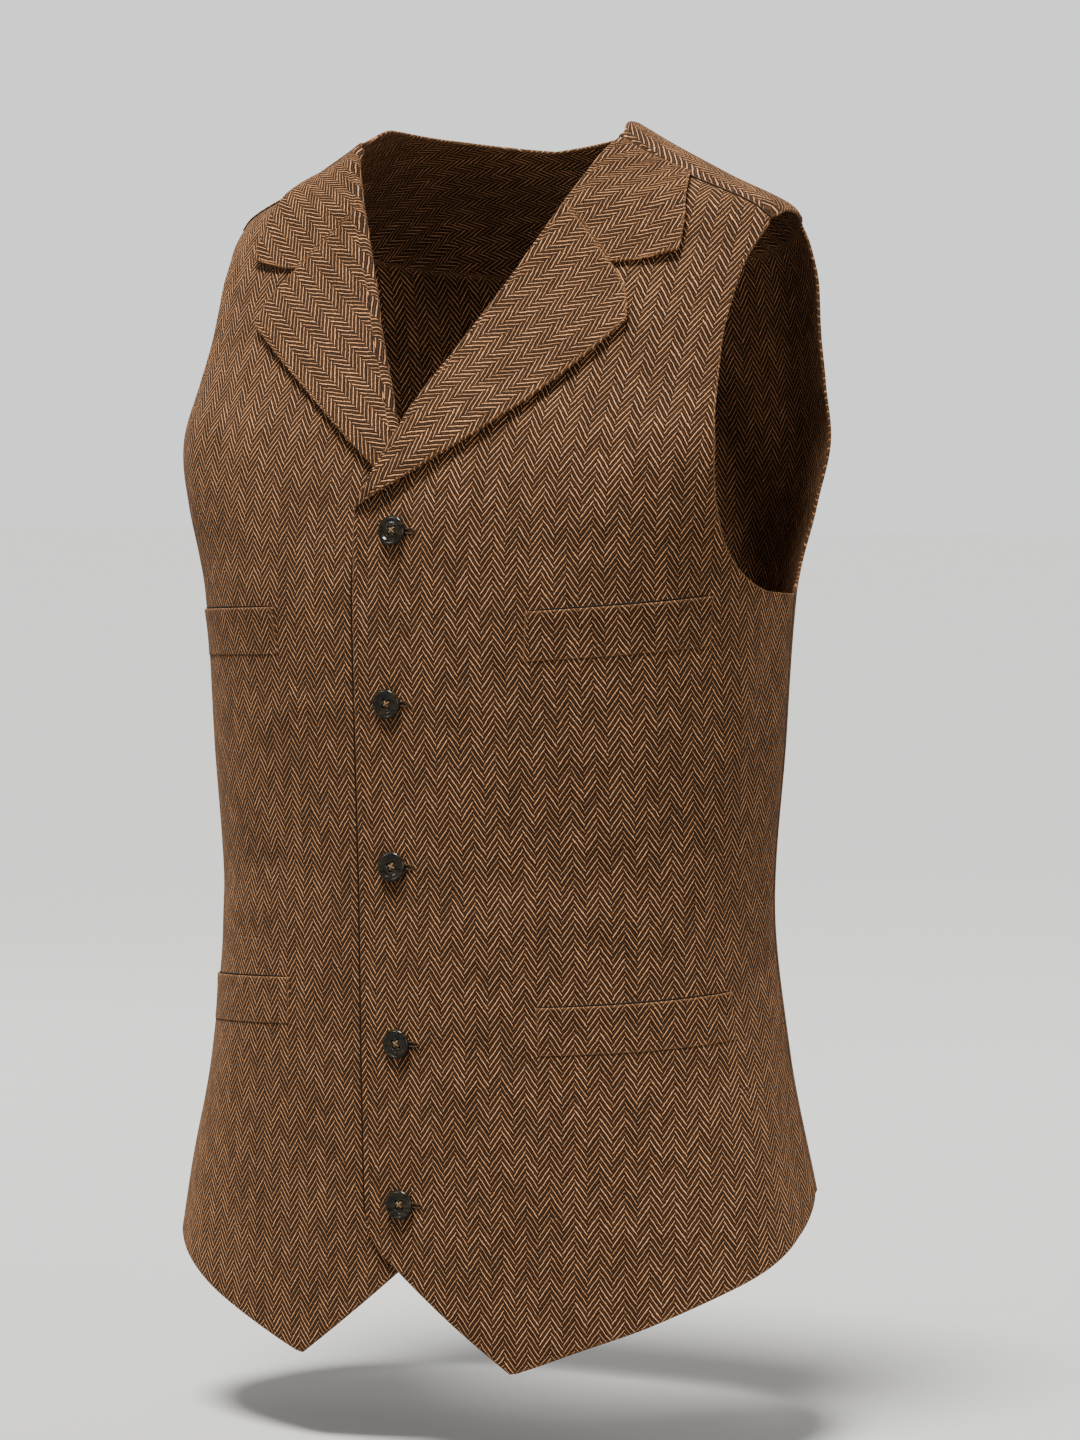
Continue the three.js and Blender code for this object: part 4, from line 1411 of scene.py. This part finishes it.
def nap_group():
    """Nap and paler rims: fine fibres lift the colour in patches, and the colour turns paler, towards
    the fibre colour, within a reach of each rim.
    """
    found = bpy.data.node_groups.get("nap and wear")
    if found:
        return found
    tree, given, result = new_group("nap and wear")
    socket(tree, "Color", "NodeSocketColor", "INPUT", (0.2, 0.1, 0.05, 1))
    socket(tree, "Rim", "NodeSocketFloat", "INPUT", 10.0)
    socket(tree, "Reach", "NodeSocketFloat", "INPUT", 1.2)
    socket(tree, "Fibre", "NodeSocketColor", "INPUT", (0.42, 0.24, 0.12, 1))
    socket(tree, "Color", "NodeSocketColor", "OUTPUT")
    socket(tree, "Roughness", "NodeSocketFloat", "OUTPUT")
    fuzz = noise(tree, object_place(tree), 420, detail=4, roughness=0.7)
    rim, reach = given.outputs["Rim"], given.outputs["Reach"]
    close = map_range(tree, {"Value": rim, "From Max": reach, "To Min": 1.0, "To Max": 0.0})
    paler_rim = maths(tree, "MULTIPLY", close, maths(tree, "MULTIPLY_ADD", fuzz, 0.9, -0.1))
    lifted = maths(tree, "MULTIPLY_ADD", fuzz, 0.12, -0.02)
    amount = maths(tree, "MAXIMUM", maths(tree, "ADD", maths(tree, "MULTIPLY", paler_rim, 0.75), lifted), 0.0)
    colour = colour_mix(tree, amount, given.outputs["Color"], given.outputs["Fibre"])
    tree.links.new(colour, result.inputs["Color"])
    tree.links.new(maths(tree, "MULTIPLY_ADD", fuzz, 0.2, 0.78), result.inputs["Roughness"])
    return tree


def add_group(tree, group, values):
    node = tree.nodes.new("ShaderNodeGroup")
    node.node_tree = group
    for name, value in values.items():
        feed(tree, node.inputs[name], value)
    return node


def new_material(name):
    material = bpy.data.materials.new(name)
    material.use_nodes = True
    tree = material.node_tree
    return material, tree, tree.nodes["Principled BSDF"]


def add_bump(tree, shader, height, strength, distance):
    bump = tree.nodes.new("ShaderNodeBump")
    bump.inputs["Strength"].default_value = strength
    bump.inputs["Distance"].default_value = distance
    tree.links.new(height, bump.inputs["Height"])
    tree.links.new(bump.outputs["Normal"], shader.inputs["Normal"])


def cloth_material():
    """Brown herringbone wool: woven colour and relief from the piece's flat, nap, and a soft sheen."""
    found = bpy.data.materials.get("herringbone wool")
    if found:
        return found
    look = bpy.context.scene.waistcoat_cloth
    material, tree, shader = new_material("herringbone wool")
    uv = tree.nodes.new("ShaderNodeUVMap")
    uv.uv_map = "cloth_flat"
    weave = add_group(tree, herringbone_group(), {
        "Flat": uv.outputs["UV"],
        "Stripe": look.stripe,
        "Pitch": look.pitch,
        "Slope": look.slope,
        "Dark": tuple(look.dark),
        "Middle": tuple(look.middle),
        "Light": tuple(look.light),
    })
    rim = tree.nodes.new("ShaderNodeAttribute")
    rim.attribute_name = "rim"
    nap = add_group(tree, nap_group(), {
        "Color": weave.outputs["Color"],
        "Rim": rim.outputs["Fac"],
        "Reach": 1.2,
        "Fibre": tuple(look.fibre),
    })
    tree.links.new(nap.outputs["Color"], shader.inputs["Base Color"])
    tree.links.new(nap.outputs["Roughness"], shader.inputs["Roughness"])
    shader.inputs["Specular IOR Level"].default_value = 0.2
    shader.inputs["Sheen Weight"].default_value = look.sheen
    shader.inputs["Sheen Roughness"].default_value = 0.45
    shader.inputs["Sheen Tint"].default_value = (0.85, 0.55, 0.32, 1)
    add_bump(tree, shader, weave.outputs["Height"], 0.75, 0.0005)
    return material


def horn_material():
    """Dark horn: black-brown with olive and tan streaks under a polished surface."""
    found = bpy.data.materials.get("dark horn")
    if found:
        return found
    look = bpy.context.scene.waistcoat_buttons
    material, tree, shader = new_material("dark horn")
    place = object_place(tree)
    streaks = tree.nodes.new("ShaderNodeMapping")
    streaks.inputs["Scale"].default_value = (1, 1, 3.2)
    streaks.inputs["Rotation"].default_value = (0.2, 0.5, 0.7)
    tree.links.new(place, streaks.inputs["Vector"])
    cloud = noise(tree, streaks.outputs["Vector"], 190, detail=5, roughness=0.6)
    level = map_range(tree, {"Value": cloud, "From Min": 0.42, "From Max": 0.72})
    colour = colour_mix(tree, level, tuple(look.dark), tuple(look.streak))
    tree.links.new(colour, shader.inputs["Base Color"])
    polish = maths(tree, "MULTIPLY_ADD", noise(tree, place, 900), 0.14, 0.12)
    tree.links.new(polish, shader.inputs["Roughness"])
    shader.inputs["Specular IOR Level"].default_value = 0.3
    shader.inputs["Coat Weight"].default_value = 0.25
    shader.inputs["Coat Roughness"].default_value = 0.08
    return material


def thread_material(name="sewing thread", tone=1.0):
    """Twisted thread: fine slanted ribs along each strand."""
    found = bpy.data.materials.get(name)
    if found:
        return found
    look = bpy.context.scene.waistcoat_buttons
    material, tree, shader = new_material(name)
    wave = tree.nodes.new("ShaderNodeTexWave")
    wave.bands_direction = "DIAGONAL"
    wave.inputs["Scale"].default_value = 900
    wave.inputs["Distortion"].default_value = 2
    tree.links.new(object_place(tree), wave.inputs["Vector"])
    light = tuple(c * tone for c in look.thread)
    dark = tuple(c * tone * 0.45 for c in look.thread)
    colour = colour_mix(tree, wave.outputs["Fac"], dark, light)
    tree.links.new(colour, shader.inputs["Base Color"])
    shader.inputs["Roughness"].default_value = 0.75
    shader.inputs["Specular IOR Level"].default_value = 0.25
    add_bump(tree, shader, wave.outputs["Fac"], 0.5, 0.0001)
    return material


# The share of the floor's colour that lights the cloth, less than the camera sees
FLOOR_BOUNCE = 0.3


def floor_material():
    """A pale floor, mottled a little."""
    look = bpy.context.scene.waistcoat_stage
    material, tree, shader = new_material("pale floor")
    grain = noise(tree, object_place(tree), 3, detail=3)
    pale = tuple(look.floor)
    mottled = colour_mix(tree, maths(tree, "MULTIPLY", grain, 0.12), pale, tuple(c * 0.9 for c in pale))
    seen = tree.nodes.new("ShaderNodeLightPath").outputs["Is Camera Ray"]
    colour = colour_mix(tree, seen, tuple(c * FLOOR_BOUNCE for c in pale), mottled)
    tree.links.new(colour, shader.inputs["Base Color"])
    shader.inputs["Roughness"].default_value = 0.9
    return material


# Stage

# The camera's way round the figure, distance and height (degrees and millimetres), the turn and tip
# of its view (degrees) and its lens (millimetres)
CAMERA_ANGLE = 30.03
CAMERA_DISTANCE = 2727
CAMERA_HEIGHT = -174.9
CAMERA_YAW = 0.48
CAMERA_PITCH = -3.102
CAMERA_LENS = 121.1


def make_camera():
    """The camera stands to the wearer's left of the front and looks back at it, tipped a little."""
    around, yaw, pitch = map(math.radians, (CAMERA_ANGLE, CAMERA_YAW, CAMERA_PITCH))
    ahead = np.array([-math.sin(around), math.cos(around), 0])
    right = np.array([math.cos(around), math.sin(around), 0])
    up = UP
    ahead, right = (
        ahead * math.cos(yaw) + right * math.sin(yaw),
        right * math.cos(yaw) - ahead * math.sin(yaw),
    )
    ahead, up = (
        ahead * math.cos(pitch) + up * math.sin(pitch),
        up * math.cos(pitch) - ahead * math.sin(pitch),
    )
    data = bpy.data.cameras.new("camera")
    data.sensor_width = 36
    data.lens = CAMERA_LENS
    data.clip_end = 50
    camera = bpy.data.objects.new("camera", data)
    bpy.context.collection.objects.link(camera)
    position = CAMERA_DISTANCE * MM * np.array([math.sin(around), -math.cos(around), 0])
    position[2] = CAMERA_HEIGHT * MM
    turn = Matrix((right, up, -ahead)).transposed().to_4x4()
    camera.matrix_world = Matrix.Translation(position) @ turn
    bpy.context.scene.camera = camera


# Soft disks aimed at the cloth: place and size in metres, and power as a share of the panel's setting
Lamp = namedtuple("Lamp", "name x y z size power")
LAMPS = [
    Lamp("fill", 2.7, -1.0, 0.2, 1.8, 1.7),
    Lamp("rim", 0.8, 2.2, 1.2, 1.5, 1.1),
    Lamp("rim left", -2.2, 0.9, 0.4, 1.3, 0.8),
    Lamp("glint", -1.4, -2.3, 0.1, 0.35, 0.5),
]
LAMP_TARGET = np.array([0, 0, -0.33])
# The key light's height over the horizon and the width of its disk, in degrees
KEY_HEIGHT = 72
KEY_SPREAD = 18
KEY_DISTANCE = 3
FLOOR_REACH = 30.0


def aim(lamp, position, ahead):
    """Puts a lamp at a place with its -Z axis pointing ahead."""
    right = unit(np.cross(ahead, UP))
    turn = Matrix((right, np.cross(right, ahead), -ahead)).transposed().to_4x4()
    lamp.matrix_world = Matrix.Translation(position) @ turn


def new_lamp(name, kind, colour):
    data = bpy.data.lights.new(name, kind)
    data.color = colour
    made = bpy.data.objects.new(name, data)
    bpy.context.collection.objects.link(made)
    return made


def make_lamps(stage):
    """A wide key light from above the front, which lights the floor evenly too, and soft disks."""
    warm = (1.0, 0.98, 0.95)
    height = math.radians(KEY_HEIGHT)
    to_key = np.array([0, -math.cos(height), math.sin(height)])
    key = new_lamp("key", "SUN", warm)
    key.data.angle = math.radians(KEY_SPREAD)
    key.data.energy = stage.key
    aim(key, to_key * KEY_DISTANCE, -to_key)
    for lamp in LAMPS:
        made = new_lamp(lamp.name, "AREA", warm)
        made.data.shape = "DISK"
        made.data.size = lamp.size
        made.data.energy = stage.light * lamp.power
        position = np.array([lamp.x, lamp.y, lamp.z])
        aim(made, position, unit(LAMP_TARGET - position))


def make_floor(stage):
    """A flat pale floor, wide enough to reach past the camera's view."""
    x, y = np.meshgrid([-FLOOR_REACH, 0, FLOOR_REACH], [-FLOOR_REACH, 0, FLOOR_REACH])
    points = np.stack([x, y, np.full_like(x, stage.floor_height)], -1).reshape(-1, 3) / MM
    floor = new_mesh("floor", points, grid_faces(3, 3, 0, False))
    floor.data.materials.append(floor_material())


def make_world(stage):
    """Soft light from all round, seen by the camera as a brighter plain backdrop."""
    world = bpy.data.worlds.new("studio")
    bpy.context.scene.world = world
    world.use_nodes = True
    tree = world.node_tree
    background = tree.nodes["Background"]
    background.inputs["Color"].default_value = (0.97, 0.98, 1.0, 1)
    seen = tree.nodes.new("ShaderNodeLightPath").outputs["Is Camera Ray"]
    strength = maths(tree, "MULTIPLY_ADD", seen, stage.backdrop - stage.ambient, stage.ambient)
    tree.links.new(strength, background.inputs["Strength"])


# Properties

def number_property(name, description, default, **limits):
    return bpy.props.FloatProperty(name=name, description=description, default=default, **limits)


def length_property(name, description, default):
    return number_property(name, description, default, min=0, unit="LENGTH", precision=4)


def colour_property(name, description, default):
    return bpy.props.FloatVectorProperty(
        name=name, description=description, default=default, size=3, min=0, max=1, subtype="COLOR"
    )


class WaistcoatSizes(bpy.types.PropertyGroup):
    cloth: length_property("Cloth", "Thickness of the panels", 0.002)
    lapel: length_property("Lapel", "Thickness of the lapels and collar ends", 0.0022)
    welt: length_property("Welt", "Thickness of a pocket welt", 0.0011)
    overlap_lift: length_property("Overlap", "Lift of the left front over the right one", 0.0025)
    crossing_lift: length_property("Crossing", "More lift where it crosses the right lapel", 0.0034)
    fold_retreat: length_property("Fold room", "From the fold to a front's edge inside it", 0.0034)
    roll: length_property("Roll", "Height of the soft roll beside the fold", 0.0010)
    free_edge_lift: length_property("Free edge", "How far a lapel's free edge stands off", 0.0024)


class WaistcoatCloth(bpy.types.PropertyGroup):
    stripe: length_property("Stripe", "Width of one herringbone stripe", 0.0067)
    pitch: length_property("Pitch", "Height from one light stroke to the next", 0.0042)
    slope: number_property("Slope", "Rise of a stroke over its run", 1.45)
    dark: colour_property("Dark", "Colour between the yarns", (0.005, 0.0025, 0.001))
    middle: colour_property("Brown", "Colour of the brown yarn", (0.075, 0.033, 0.012))
    light: colour_property("Light", "Colour of the light yarn", (0.84, 0.4, 0.175))
    fibre: colour_property("Fibre", "Colour of the raised fibres", (0.34, 0.165, 0.07))
    sheen: number_property("Sheen", "Strength of the nap's sheen", 0.08, min=0, max=1, subtype="FACTOR")


class WaistcoatButtons(bpy.types.PropertyGroup):
    dark: colour_property("Horn", "Main colour of the horn", (0.0065, 0.0055, 0.0032))
    streak: colour_property("Streak", "Colour of the streaks in the horn", (0.05, 0.036, 0.016))
    thread: colour_property("Thread", "Colour of the sewing thread", (0.42, 0.25, 0.12))


class WaistcoatStage(bpy.types.PropertyGroup):
    floor: colour_property("Floor", "Colour of the floor", (0.68, 0.68, 0.68))
    floor_height: number_property("Floor height", "Height of the floor", -0.72, unit="LENGTH")
    key: number_property("Key", "Strength of the key light", 5.6)
    light: number_property("Lamps", "Power of a soft lamp", 14, unit="POWER")
    ambient: number_property("Ambient", "Strength of the room's light", 0.2)
    backdrop: number_property("Backdrop", "Brightness of the backdrop", 1.25)


# Operators

class WAISTCOAT_OT_fronts(bpy.types.Operator):
    """Build the two fronts"""

    bl_idname = "waistcoat.fronts"
    bl_label = "Fronts"

    def execute(self, context):
        for side in (1, -1):
            make_front(side, context.scene.waistcoat_sizes)
        return {"FINISHED"}


class WAISTCOAT_OT_back(bpy.types.Operator):
    """Build the back and the yoke"""

    bl_idname = "waistcoat.back"
    bl_label = "Back and yoke"

    def execute(self, context):
        make_back(context.scene.waistcoat_sizes)
        make_yoke(context.scene.waistcoat_sizes)
        make_seam_shades()
        make_edge_shade()
        return {"FINISHED"}


class WAISTCOAT_OT_lapels(bpy.types.Operator):
    """Build the lapels and the collar ends"""

    bl_idname = "waistcoat.lapels"
    bl_label = "Lapels and collar"

    def execute(self, context):
        for side in (1, -1):
            make_lapel(side, context.scene.waistcoat_sizes)
            make_collar(side, context.scene.waistcoat_sizes)
        return {"FINISHED"}


class WAISTCOAT_OT_welts(bpy.types.Operator):
    """Build the pocket welts"""

    bl_idname = "waistcoat.welts"
    bl_label = "Pocket welts"

    def execute(self, context):
        for welt in WELTS:
            make_welt(welt, context.scene.waistcoat_sizes)
        return {"FINISHED"}


class WAISTCOAT_OT_buttons(bpy.types.Operator):
    """Build the buttons, their thread and their buttonholes"""

    bl_idname = "waistcoat.buttons"
    bl_label = "Buttons"

    def execute(self, context):
        for number, button in enumerate(BUTTONS, 1):
            make_button(number, button, context.scene.waistcoat_sizes)
            make_buttonhole(number, button, context.scene.waistcoat_sizes)
        return {"FINISHED"}


class WAISTCOAT_OT_stage(bpy.types.Operator):
    """Build the floor, the lamps and the camera"""

    bl_idname = "waistcoat.stage"
    bl_label = "Stage"

    def execute(self, context):
        stage = context.scene.waistcoat_stage
        make_camera()
        make_lamps(stage)
        make_floor(stage)
        make_world(stage)
        return {"FINISHED"}


class WAISTCOAT_PT_panel(bpy.types.Panel):
    bl_idname = "WAISTCOAT_PT_panel"
    bl_label = "Waistcoat"
    bl_space_type = "VIEW_3D"
    bl_region_type = "UI"
    bl_category = "Waistcoat"

    def draw(self, context):
        layout = self.layout
        for name in GROUPS:
            group = getattr(context.scene, name)
            box = layout.box()
            for prop in group.bl_rna.properties.keys():
                if prop not in {"rna_type", "name"}:
                    box.prop(group, prop)
        for operator in OPERATORS:
            layout.operator(operator.bl_idname)


GROUPS = {
    "waistcoat_sizes": WaistcoatSizes,
    "waistcoat_cloth": WaistcoatCloth,
    "waistcoat_buttons": WaistcoatButtons,
    "waistcoat_stage": WaistcoatStage,
}
OPERATORS = [
    WAISTCOAT_OT_back,
    WAISTCOAT_OT_fronts,
    WAISTCOAT_OT_lapels,
    WAISTCOAT_OT_welts,
    WAISTCOAT_OT_buttons,
    WAISTCOAT_OT_stage,
]


def register():
    for made in [*GROUPS.values(), *OPERATORS, WAISTCOAT_PT_panel]:
        bpy.utils.register_class(made)
    for name, group in GROUPS.items():
        setattr(bpy.types.Scene, name, bpy.props.PointerProperty(type=group))


def unregister():
    for name in GROUPS:
        delattr(bpy.types.Scene, name)
    for made in reversed([*GROUPS.values(), *OPERATORS, WAISTCOAT_PT_panel]):
        bpy.utils.unregister_class(made)


def main():
    register()
    bpy.ops.waistcoat.back()
    bpy.ops.waistcoat.fronts()
    bpy.ops.waistcoat.lapels()
    bpy.ops.waistcoat.welts()
    bpy.ops.waistcoat.buttons()
    bpy.ops.waistcoat.stage()


if __name__ == "__main__":
    main()
